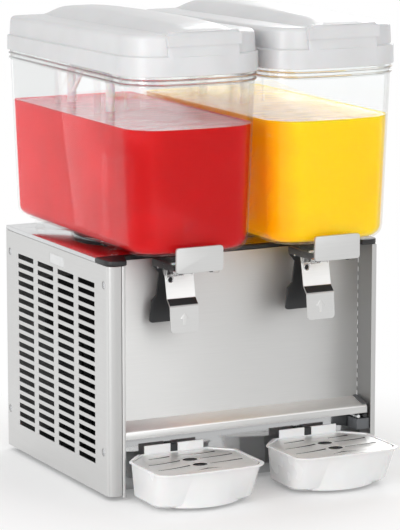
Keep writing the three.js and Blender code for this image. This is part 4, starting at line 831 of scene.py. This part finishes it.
# Height share and radius in millimetres up a small foot
SPOOL = ((0.0, 6.2), (0.08, 7.0), (0.25, 6.6), (0.4, 4.9), (0.6, 4.9), (0.8, 6.2), (1.0, 7.0))


def make_jar_feet(side, axle, floor):
    """Four small spools under each bowl."""
    look = finishes()
    low, half_width, ahead, behind = deck_top() + 0.3 * MM, 72 * MM, 144 * MM, 94 * MM
    places = [(x, y) for x in (axle.x - half_width, axle.x + half_width)
              for y in (axle.y - ahead, axle.y + behind)]
    for count, (x, y) in enumerate(places):
        rings = [hoop(Vector((x, y, low + share * (floor - low))), Vector((radius * MM, 0, 0)),
                      Vector((0, radius * MM, 0))) for share, radius in SPOOL]
        spool = loft(f"{side}_bowl_foot_{count + 1}", rings)
        smooth(spool, 50)
        finish(spool, look["clear"], f"{side}_bowl", "clear_polycarbonate")


def make_outlet(side, floor):
    """The short spout under the bowl's floor and the two cheeks that hold the pivot pin."""
    look = finishes()
    plunger_low, plunger_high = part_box(f"{side}_valve_plunger")
    tap, foot, facets = (plunger_low + plunger_high) / 2, plunger_low.z - 2.3 * MM, 40
    spout = post(f"{side}_spout", tap, foot, floor, 10 * MM, facets, 11 * MM)
    join_cut(spout, post("bore", tap, foot + 2 * MM, floor + 5 * MM, 9 * MM, facets))
    join_cut(spout, post("mouth", tap, foot - 5 * MM, floor, 6.2 * MM, facets))
    bevel(spout, 0.4 * MM)
    smooth(spout)
    finish(spout, look["clear"], f"{side}_bowl", "clear_polycarbonate")
    pin_low, pin_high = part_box(f"{side}_pivot_pin")
    pin = (pin_low + pin_high) / 2
    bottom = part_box(f"{side}_jar")[0].z
    nose, half_span, half_wall = 5.5 * MM, 31 * MM, 1.5 * MM
    profile = [(pin.y - nose, floor), (pin.y - nose, pin.z)]
    profile += [(pin.y - nose * math.cos(math.radians(a)), pin.z - nose * math.sin(math.radians(a)))
                for a in (20, 45, 70)]
    profile += [(pin.y + 28 * MM, bottom + 1 * MM), (pin.y + 32 * MM, bottom + 3 * MM),
                (pin.y + 40 * MM, floor)]
    for name, way in (("outer", -1), ("inner", 1)):
        x = tap.x + way * half_span
        rings = [[Vector((x + s * half_wall, y, z)) for y, z in profile] for s in (-1, 1)]
        cheek = loft(f"{side}_tap_cheek_{name}", rings)
        bevel(cheek, 0.7 * MM, 3, 30)
        smooth(cheek)
        finish(cheek, look["clear"], f"{side}_bowl", "clear_polycarbonate")
    dress(f"{side}_pivot_pin", f"{side}_pin", "mirror", f"{side}_bowl", "polished_stainless",
          0.4 * MM, 2, 50, 40)


def make_juice():
    """The drink in each bowl, a hair clear of the wall, with a raised edge where it meets it."""
    look = finishes()
    sizes = bpy.context.scene.dispenser_bowl
    inset, radius = sizes.wall + 0.25 * MM, sizes.floor_radius - sizes.wall
    raised_edge = ((1.2 * MM, 0), (0.3 * MM, 1.5 * MM), (0, 4 * MM))
    for side, fruit in zip(SIDES, ("red", "orange")):
        rings = floor_rings(side, inset, radius, 6)
        rings += [wall_ring(side, sizes.juice_level + height, inset + reach)
                  for height, reach in raised_edge]
        drink = loft(f"{side}_drink", rings)
        smooth(drink, 50)
        finish(drink, look[fruit], f"{side}_bowl", "clear_polycarbonate")


# Stations along the lid's raised middle: distance back from the frame's origin and height over
# the lid's foot in millimetres, and the crest's width there as a share
CREST = (
    (-200.0, 54.0, 0.90), (-198.8, 57.0, 0.89), (-196.2, 58.4, 0.88), (-189.2, 60.4, 0.87),
    (-179.2, 62.0, 0.87), (-169.2, 63.6, 0.88), (-159.2, 64.7, 0.90), (-144.2, 65.3, 0.95),
    (-119.2, 65.6, 1.0), (-79.2, 65.9, 1.02), (-39.2, 65.9, 0.95), (0, 65.8, 0.86),
    (40, 65.2, 0.78), (80, 64.4, 0.70), (120, 63.3, 0.68), (150, 62.2, 0.65), (180, 60.3, 0.60),
    (200, 58.0, 0.55), (212, 55.0, 0.5), (220, 51.0, 0.45), (224, 47.2, 0.4),
)
TAPER_START, TAPER_END = 150, 224
TAPER = 14 * MM


def ridge_rings(side):
    """Cross-sections of the lid's raised middle: sloping flanks up to a narrow, rounded crest."""
    lid = bpy.context.scene.dispenser_lid
    middle, low, steps = bowl(side)[0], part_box(f"{side}_lid")[0], 5
    foot = low.z + lid.height - lid.shoulder
    rings = []
    for place, height, narrow in CREST:
        y = max(place * MM, low.y + 0.4 * MM)
        top, base, half = low.z + height * MM, lid.ridge_half, lid.crest_half * narrow
        if place > TAPER_START:
            base -= TAPER * ((place - TAPER_START) / (TAPER_END - TAPER_START)) ** 2
        drop = min(top - 0.2 * MM, low.z + lid.height + lid_rise(side, y) - 0.5 * MM)
        section = [(-base, foot), (base, foot), (base, drop)]
        for i in range(steps + 1):
            share = i / steps
            climb = math.sin(share * math.pi / 2) ** 0.9
            section.append((base + (half - base) * share, drop + (top - drop) * climb))
        section += [(-px, pz) for px, pz in reversed(section[3:])]
        section.append((-base, drop))
        rings.append([Vector((middle + px, y, pz)) for px, pz in section])
    return rings


def nose_rings(side):
    """The flat nose that joins the skirt to the raised middle at the lid's front."""
    lid = bpy.context.scene.dispenser_lid
    middle, half, front, _ = bowl(side)
    low, width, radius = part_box(f"{side}_lid")[0].z, lid.nose_half, 6 * MM
    top = low + lid.nose_height
    turns = [(math.sin(math.radians(a)), math.cos(math.radians(a))) for a in range(0, 91, 15)]
    section = [(-width + i * width / 4, low + 1.5 * MM) for i in range(9)]
    section += [(width - radius + radius * c, top - radius + radius * s) for s, c in turns]
    section += [(width / 2, top), (0, top), (-width / 2, top)]
    section += [(-width + radius - radius * s, top - radius + radius * c) for s, c in turns]
    rings = []
    for depth, inset in ((0.02 * MM, 1 * MM), (0.3 * MM, 0.45 * MM), (1 * MM, 0), (9 * MM, 0)):
        ring = []
        for px, pz in section:
            y = front - bpy.context.scene.dispenser_bowl.bow * (1 - (px / half) ** 2) + depth
            lowered = inset if pz > low + 10 * MM else 0
            ring.append(Vector((middle + px * (1 - inset / width), y, pz - lowered)))
        rings.append(ring)
    return rings


def make_lids():
    """Moulded lids: skirt, step, tight shoulder, sloping raised middle and a flat nose."""
    look = finishes()
    lid = bpy.context.scene.dispenser_lid
    steps, skirt_share, crown_reach = 6, 0.7, 26 * MM
    for side in SIDES:
        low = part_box(f"{side}_lid")[0].z
        top, skirt = low + lid.height, low + lid.flange
        rings = [level(side, 0.6 * MM, low), level(side, 0, low + 0.6 * MM)]
        for inset, drop in ((0.3 * MM, 1.2 * MM), (1.4 * MM, 0), (lid.step - 0.8 * MM, 0),
                            (lid.step, -0.8 * MM)):
            rings.append(level(side, inset, skirt - drop, skirt_share))
        for i in range(steps + 1):
            angle = math.radians(90 * i / steps)
            inset = lid.step + lid.wall / 2 + lid.shoulder * (1 - math.cos(angle))
            rings.append(level(side, inset, top - lid.shoulder * (1 - math.sin(angle)), 1.0))
        rings.append(level(side, lid.step + lid.shoulder + crown_reach, top + 0.4 * MM, 1.0))
        shell = loft(f"{side}_lid_shell", rings)
        join_cut(shell, loft("ridge", ridge_rings(side)), "UNION")
        join_cut(shell, loft("nose", nose_rings(side)), "UNION")
        join_cut(shell, loft("hollow", hollow_rings(side, low, top)))
        smooth(shell, 30)
        finish(shell, look["lid"], f"{side}_cover", "pale_grey_plastic", f"{side}_lid")


def hollow_rings(side, low, top):
    """The space inside a lid: a pocket for the rim and, over the rim, the inside of the body."""
    lid = bpy.context.scene.dispenser_lid
    pocket, radius, steps = 2.5 * MM, 5 * MM, 3
    seat = low + bpy.context.scene.dispenser_bowl.lid_overlap + 0.3 * MM
    ledge = lid.step + lid.wall + 2 * MM
    rings = [level(side, pocket, low - 5 * MM), level(side, pocket, seat), level(side, ledge, seat)]
    for i in range(steps + 1):
        angle = math.radians(90 * i / steps)
        rings.append(level(side, ledge + radius * (1 - math.cos(angle)),
                           top - lid.wall - radius * (1 - math.sin(angle))))
    return rings


def make_tubes():
    """White spray tubes, each one bent tube with a brace."""
    look = finishes()
    bend, sides = 16 * MM, 24
    turns = [(math.sin(math.radians(a)), math.cos(math.radians(a))) for a in range(0, 91, 10)]
    for side in SIDES:
        low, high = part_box(f"{side}_spray_tube")
        x, radius = (low.x + high.x) / 2, (high.x - low.x) / 2
        back, front, top = high.y - radius, low.y + radius, high.z - radius
        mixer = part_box(f"{side}_impeller")[1].z + 6 * MM
        path = [(back, low.z), (back, (low.z + top) / 2)]
        path += [(back - bend + bend * c, top - bend + bend * s) for s, c in turns]
        path += [(front + bend - bend * s, top - bend + bend * c) for s, c in turns]
        path += [(front, mixer)]
        tube = swept(f"{side}_tube", [Vector((x, y, z)) for y, z in path], radius, sides)
        join_cut(tube, post("bore", Vector((x, front, 0)), mixer - 5 * MM, top - 18 * MM, 4.3 * MM, sides))
        smooth(tube, 45)
        finish(tube, look["tube"], f"{side}_bowl", "white_plastic", f"{side}_spray_tube")
        leg, radius = 42 * MM, 3 * MM
        brace = swept(f"{side}_tube_brace", [Vector((x, back, top - leg)), Vector((x, back - leg, top))],
                      radius, 16)
        smooth(brace, 45)
        finish(brace, look["tube"], f"{side}_bowl", "white_plastic")


def make_taps():
    """Tap covers, levers, plates, plungers and springs."""
    for side in SIDES:
        dress(f"{side}_tap_cover", f"{side}_tap_shield", "steel_x", f"{side}_bowl", "brushed_stainless",
              0.35 * MM, 2, 50, 40)
        dress(f"{side}_cup_lever", f"{side}_black_lever", "black", f"{side}_tap_lever", "black_plastic",
              0.9 * MM, 3, 30)
        make_plate(side)
        dress(f"{side}_valve_plunger", f"{side}_plunger", "tube", f"{side}_valve", "white_plastic",
              0.5 * MM, 2, 50, 40)
        paint(f"{side}_lever_spring", finishes()["mirror"])


def make_plate(side):
    """The pressed plate of the lever: a black pad on its ledge as a painted dark reflection, an eyelet and
    a raised arrow.
    """
    look = finishes()
    body = f"{side}_tap_lever"
    low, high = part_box(f"{side}_push_plate")
    plate = refine(f"{side}_push_plate", f"{side}_steel_plate", 0.25 * MM, 1, 50, 18)
    eye = Vector((low.x + 7.4 * MM, low.y + 16.8 * MM, high.z - 19.3 * MM))
    through = Vector((0, 12 * MM, 0))
    join_cut(plate, rod("eye", eye - through, eye + through, 3.6 * MM))
    smooth(plate, 18)
    finish(plate, look["steel_x"], body, "brushed_stainless", f"{side}_push_plate")
    # Painted shade on the plate's right and lower faces, and a painted highlight on the front of its upper
    # half.
    finish_faces(plate, look["steel_recess"], lambda f: f.normal.x > 0.3 or f.normal.z < -0.5)
    upper = low.z + 44 * MM
    finish_faces(plate, look["steel_lip"], lambda f: f.center.z > upper and f.normal.y < -0.5)
    make_dark_reflection_pad(side, low, high)
    make_arrow(side, low, high)
    ring = torus(f"{side}_plate_eyelet", eye - Vector((0, 0.4 * MM, 0)), "Y", 4.3 * MM, 0.8 * MM)
    finish(ring, look["mirror"], body, "polished_stainless")
    first, pitch = Vector((low.x + 8.5 * MM, low.y + 5.2 * MM, high.z - 10.5 * MM)), 2.3 * MM
    for turn in range(6):
        coil = torus(f"{side}_clip_coil_{turn + 1}", first + Vector((turn * pitch, 0, 0)), "X",
                     2.5 * MM, 0.55 * MM)
        finish(coil, look["mirror"], body, "polished_stainless")
    centre = Vector((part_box(f"{side}_cup_lever")[0].x, low.y + 22.8 * MM, high.z - 2.8 * MM))
    half = Vector((0.5 * MM, 0, 0))
    stud = rod(f"{side}_lever_stud", centre + half, centre - half, 1.5 * MM, 20)
    bevel(stud, 0.3 * MM)
    finish(stud, look["mirror"], body, "polished_stainless")


def make_dark_reflection_pad(side, low, high):
    """A black pad on the ledge that slopes between the plate's two halves, which paints the dark
    reflection on the ledge.
    """
    foot = Vector((0, low.y + 4.0 * MM, low.z + 36.6 * MM))
    head = Vector((0, low.y + 11.6 * MM, low.z + 43.8 * MM))
    along = (head - foot).normalized()
    out = Vector((0, -along.z, along.y))
    margin, lift, thickness = 0.4 * MM, 0.15 * MM, 0.9 * MM
    rings = []
    for x in (low.x + margin, high.x - margin):
        across = Vector((x, 0, 0))
        start, end = foot + across + out * lift, head + across + out * lift
        rings.append([start, end, end + out * thickness, start + out * thickness])
    dark_reflection_pad = loft(f"{side}_plate_painted_reflection_pad", rings)
    bevel(dark_reflection_pad, 0.3 * MM)
    smooth(dark_reflection_pad)
    finish(dark_reflection_pad, finishes()["rubber"], f"{side}_tap_lever", "black_rubber")


def make_arrow(side, low, high):
    """A raised arrow pressed on the plate's lower half, pointing at where a cup pushes."""
    lean = Vector((0, 4 * MM, 36 * MM)).normalized()
    out = Vector((0, -lean.z, lean.y))
    middle = (low.x + high.x) / 2
    centre = Vector((middle, low.y + 1.75 * MM, low.z + 18 * MM)) + out * 0.05 * MM
    outline = [(-2, -8), (2, -8), (2, 1), (6.5, 1), (0, 8.5), (-6.5, 1), (-2, 1)]
    rings = [[centre + Vector((1, 0, 0)) * a * scale * MM + lean * b * scale * MM + out * height * MM
              for a, b in outline] for height, scale in ((-0.6, 1.0), (0.25, 1.0), (0.5, 0.9))]
    arrow = loft(f"{side}_plate_arrow", rings)
    smooth(arrow, 25)
    finish(arrow, finishes()["steel_z"], f"{side}_tap_lever", "brushed_stainless")


def make_mixers():
    """Cooling domes and impellers."""
    for side in SIDES:
        dress(f"{side}_cooling_dome", f"{side}_chill_dome", "mirror", "cabinet", "polished_stainless",
              1.5 * MM, 2, 40, 40)
        dress(f"{side}_impeller", f"{side}_mixer_wheel", "white", f"{side}_mixer", "white_plastic",
              0.5 * MM)


def make_trays():
    """Drip trays and their grates."""
    for side in SIDES:
        dress(f"{side}_drip_tray", f"{side}_white_tray", "white", f"{side}_tray", "white_plastic",
              0.8 * MM, 3, 35, 32)
        # The grates take the brighter steel of the painted highlight.
        grate = dress(f"{side}_drip_grate", f"{side}_steel_grate", "steel_lip", f"{side}_grate",
                      "polished_stainless", 0.3 * MM, 2, 50)
        # Painted shade: the grate's slot walls and edges get black enamel, so the slots look dark.
        finish_faces(grate, finishes()["enamel"], lambda f: abs(f.normal.z) < 0.6)


# Places on a side panel, in millimetres from its front and its foot
SCREW_PLACES = ((325.7, 281.8), (330.4, 54.5), (14.7, 284.7), (17.7, 58.2))
LABEL = ((142.2, 287.2), (188.8, 301.4))
SCREW_RADIUS, SCREW_SINK, DIMPLE_EDGE = 4.4 * MM, 1.1 * MM, 1.1 * MM
LABEL_SINK, LABEL_EDGE = 0.3 * MM, 0.4 * MM
# Height share and radius share up a screw's head
PAN_HEAD = ((0.0, 1.0), (0.45, 1.0), (0.8, 0.85), (0.97, 0.5), (1.0, 0.2))


def on_side(side, y, z, depth=0.0):
    """A point on a side panel's face, or a depth under it."""
    low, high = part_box(f"{side}_side_panel")
    x = low.x + depth if side == "left" else high.x - depth
    return Vector((x, low.y + y * MM, low.z + z * MM))


def sink_details(side, panel):
    """Presses a dimple for each screw and a shallow field for the label into a side sheet."""
    clear = 4 * MM
    for y, z in SCREW_PLACES:
        start, end = on_side(side, y, z, SCREW_SINK), on_side(side, y, z, -clear)
        join_cut(panel, rod("dimple", start, end, SCREW_RADIUS + DIMPLE_EDGE, 28))
    if side == "left":
        (y0, z0), (y1, z1) = LABEL
        join_cut(panel, block("field", on_side(side, y0, z0, -clear), on_side(side, y1, z1, LABEL_SINK)))


def screw(name, side, y, z):
    """A pan head screw with a cross slot, sunk in its dimple."""
    outward = -1 if side == "left" else 1
    base = on_side(side, y, z, SCREW_SINK - 0.05 * MM)
    tall = SCREW_SINK - 0.1 * MM
    rings = [hoop(base + Vector((outward * height * tall, 0, 0)), Vector((0, width * SCREW_RADIUS, 0)),
                  Vector((0, 0, width * SCREW_RADIUS))) for height, width in PAN_HEAD]
    head = loft(name, rings)
    centre = base + Vector((outward * tall, 0, 0))
    for wide, high in ((0.6, 0.13), (0.13, 0.6)):
        reach = Vector((0.6 * tall, wide * SCREW_RADIUS, high * SCREW_RADIUS))
        join_cut(head, block("slot", centre - reach, centre + reach))
    smooth(head, 40)
    finish(head, finishes()["mirror"], "cabinet", "polished_stainless")


def make_small_parts():
    """Screws, the blank label and the fittings under the lip."""
    for side in SIDES:
        for count, (y, z) in enumerate(SCREW_PLACES):
            screw(f"{side}_panel_screw_{count + 1}", side, y, z)
    (y0, z0), (y1, z1) = LABEL
    margin = Vector((0, LABEL_EDGE, LABEL_EDGE))
    label = block("side_label", on_side("left", y0, z0, 0.04 * MM) + margin,
                  on_side("left", y1, z1, LABEL_SINK - 0.02 * MM) - margin)
    finish(label, finishes()["label"], "cabinet", "white_plastic")
    make_lip_fittings()


def make_lip_fittings():
    """A dark gusset on the lip's right end, and the stud, screw and spacer under it."""
    look = finishes()
    panel_low, panel_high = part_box("front_panel")
    right, nose = panel_high.x, panel_low.z
    front, back = panel_low.y - 1 * MM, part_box("lower_front_panel")[0].y - 0.3 * MM
    crease = Vector((0, panel_high.y - 1.5 * MM, nose + 17.4 * MM))
    edge = Vector((0, panel_low.y + 2.6 * MM, nose + 11.5 * MM))
    corners = ((right - 6.7 * MM, crease), (right - 0.4 * MM, crease), (right - 1.0 * MM, edge),
               (right - 9.8 * MM, edge))
    gusset = loft("lip_gusset", [[Vector((x, 0, lift)) + place for x, place in corners]
                                 for lift in (0.15 * MM, 1 * MM)])
    bevel(gusset, 0.3 * MM)
    finish(gusset, look["spacer"], "cabinet", "black_plastic")
    x, z = right - 7 * MM, nose - 3.9 * MM
    stud = rod("lip_stud", (x, front, z), (x, back, z), 3.3 * MM, 20)
    bevel(stud, 0.8 * MM, 3)
    smooth(stud)
    finish(stud, look["black"], "cabinet", "black_plastic")
    x, z = right - 17.6 * MM, nose - 4 * MM
    bolt = rod("lip_bolt", (x, front, z), (x, back, z), 2.7 * MM, 6)
    bevel(bolt, 0.5 * MM)
    finish(bolt, look["mirror"], "cabinet", "polished_stainless")
    spacer = block("lip_spacer", (right - 20 * MM, front, nose - 23 * MM),
                   (right - 0.6 * MM, back, nose - 7.6 * MM))
    bevel(spacer, 1.2 * MM, 3)
    smooth(spacer)
    finish(spacer, look["spacer"], "cabinet", "black_plastic")


# The camera, fitted to the photograph: its place from the panels' front foot, and its turn
CAMERA_X, CAMERA_AHEAD, CAMERA_UP = -1.8266, 3.4813, 1.0054
CAMERA_DOWN, CAMERA_ROUND, CAMERA_SHIFT = 10.187, -26.769, -0.002


def make_stage():
    """Camera, lamps, world, floor."""
    scene = bpy.context.scene
    look = scene.dispenser_stage
    scene.view_settings.view_transform = "Standard"
    deselect()
    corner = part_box("left_side_panel")[0]
    bpy.ops.object.camera_add(location=(CAMERA_X, corner.y - CAMERA_AHEAD, corner.z + CAMERA_UP))
    camera = bpy.context.object
    camera.rotation_euler = (math.radians(90 - CAMERA_DOWN), 0, math.radians(CAMERA_ROUND))
    camera.data.lens = look.lens
    camera.data.sensor_width = 36
    camera.data.shift_y = CAMERA_SHIFT
    scene.camera = camera
    light_world(scene, look)
    aim = Vector((0, 0, 0.33))
    lamps = (
        ("key_lamp", (-0.6, -2.9, 1.3), look.key, 1.8, 1.6),
        ("side_lamp", (-2.2, -1.15, 0.8), look.fill, 0.7, 2.0),
        ("back_lamp", (1.8, 1.9, 1.6), look.fill, 1.4, 1.4),
        ("strip_lamp", (-1.95, -1.66, 0.6), look.strip, 0.1, 2.4),
    )
    for name, place, power, wide, tall in lamps:
        turn = (aim - Vector(place)).to_track_quat("-Z", "Y").to_euler()
        bpy.ops.object.light_add(type="AREA", location=place, rotation=turn)
        lamp = bpy.context.object
        lamp.name = name
        lamp.data.energy = power
        lamp.data.shape = "RECTANGLE"
        lamp.data.size = wide
        lamp.data.size_y = tall
    deselect()
    under = 0.2 * MM
    bpy.ops.mesh.primitive_plane_add(size=60, location=(0, 0, -under))
    floor = bpy.context.object
    floor.name = "floor"
    floor.data.materials.append(white_floor("studio_floor"))


def light_world(scene, look):
    """A world that lights evenly, and is white to the camera and through clear pieces."""
    scene.world = bpy.data.worlds.new("studio")
    scene.world.use_nodes = True
    tree = scene.world.node_tree
    tree.nodes.clear()
    mirrored = add(tree, "LightPath").outputs["Is Glossy Ray"]
    even = add(tree, "MapRange", Value=mirrored, To_Min=look.world, To_Max=look.mirror)
    strength = add(tree, "Math", {"operation": "MAXIMUM"}, i0=even.outputs["Result"],
                   i1=ray_share(tree, "Camera", "Transmission"))
    sky = add(tree, "Background", Color=(1, 1, 1, 1), Strength=strength.outputs["Value"])
    add(tree, "OutputWorld", Surface=sky.outputs["Background"])


# Operators, panel and registration

class DISPENSER_OT_stage(Operator):
    """Adds the camera, the lamps and the floor"""
    bl_idname = "dispenser.stage"
    bl_label = "Stage"

    def execute(self, context):
        make_stage()
        return {"FINISHED"}


class DISPENSER_OT_cabinet(Operator):
    """Makes the sheet metal, the trim and the feet"""
    bl_idname = "dispenser.cabinet"
    bl_label = "Cabinet"

    def execute(self, context):
        make_cabinet()
        return {"FINISHED"}


class DISPENSER_OT_machinery(Operator):
    """Finishes what lies inside the cabinet"""
    bl_idname = "dispenser.machinery"
    bl_label = "Machinery"

    def execute(self, context):
        make_machinery()
        return {"FINISHED"}


class DISPENSER_OT_controls(Operator):
    """Makes the switches, the knob and the gland"""
    bl_idname = "dispenser.controls"
    bl_label = "Controls"

    def execute(self, context):
        make_controls()
        return {"FINISHED"}


class DISPENSER_OT_mixers(Operator):
    """Makes the cooling domes and the impellers"""
    bl_idname = "dispenser.mixers"
    bl_label = "Mixers"

    def execute(self, context):
        make_mixers()
        return {"FINISHED"}


class DISPENSER_OT_jars(Operator):
    """Makes the clear bowls with their outlets"""
    bl_idname = "dispenser.jars"
    bl_label = "Bowls"

    def execute(self, context):
        make_jars()
        return {"FINISHED"}


class DISPENSER_OT_juice(Operator):
    """Fills the bowls"""
    bl_idname = "dispenser.juice"
    bl_label = "Juice"

    def execute(self, context):
        make_juice()
        return {"FINISHED"}


class DISPENSER_OT_lids(Operator):
    """Makes the lids"""
    bl_idname = "dispenser.lids"
    bl_label = "Lids"

    def execute(self, context):
        make_lids()
        return {"FINISHED"}


class DISPENSER_OT_tubes(Operator):
    """Makes the spray tubes"""
    bl_idname = "dispenser.tubes"
    bl_label = "Spray tubes"

    def execute(self, context):
        make_tubes()
        return {"FINISHED"}


class DISPENSER_OT_taps(Operator):
    """Makes the taps"""
    bl_idname = "dispenser.taps"
    bl_label = "Taps"

    def execute(self, context):
        make_taps()
        return {"FINISHED"}


class DISPENSER_OT_trays(Operator):
    """Makes the drip trays and their grates"""
    bl_idname = "dispenser.trays"
    bl_label = "Trays"

    def execute(self, context):
        make_trays()
        return {"FINISHED"}


class DISPENSER_OT_small_parts(Operator):
    """Adds the screws, the label and the fittings under the lip"""
    bl_idname = "dispenser.small_parts"
    bl_label = "Small parts"

    def execute(self, context):
        make_small_parts()
        return {"FINISHED"}


STEPS = (
    DISPENSER_OT_stage,
    DISPENSER_OT_cabinet,
    DISPENSER_OT_machinery,
    DISPENSER_OT_controls,
    DISPENSER_OT_mixers,
    DISPENSER_OT_jars,
    DISPENSER_OT_juice,
    DISPENSER_OT_lids,
    DISPENSER_OT_tubes,
    DISPENSER_OT_taps,
    DISPENSER_OT_trays,
    DISPENSER_OT_small_parts,
)


class DISPENSER_PT_panel(Panel):
    """Lists the operators in the order in which they run"""
    bl_label = "Juice dispenser"
    bl_space_type = "VIEW_3D"
    bl_region_type = "UI"
    bl_category = "Dispenser"

    def draw(self, context):
        for step in STEPS:
            self.layout.operator(step.bl_idname)


GROUPS = {
    "dispenser_bowl": BowlSizes,
    "dispenser_lid": LidSizes,
    "dispenser_colours": FinishColours,
    "dispenser_stage": StageLook,
}


def register():
    for name, group in GROUPS.items():
        bpy.utils.register_class(group)
        setattr(bpy.types.Scene, name, PointerProperty(type=group))
    for step in STEPS:
        bpy.utils.register_class(step)
    bpy.utils.register_class(DISPENSER_PT_panel)


def unregister():
    bpy.utils.unregister_class(DISPENSER_PT_panel)
    for step in reversed(STEPS):
        bpy.utils.unregister_class(step)
    for name, group in GROUPS.items():
        delattr(bpy.types.Scene, name)
        bpy.utils.unregister_class(group)


def main():
    register()
    for step in STEPS:
        group, name = step.bl_idname.split(".")
        getattr(getattr(bpy.ops, group), name)()


if __name__ == "__main__":
    main()
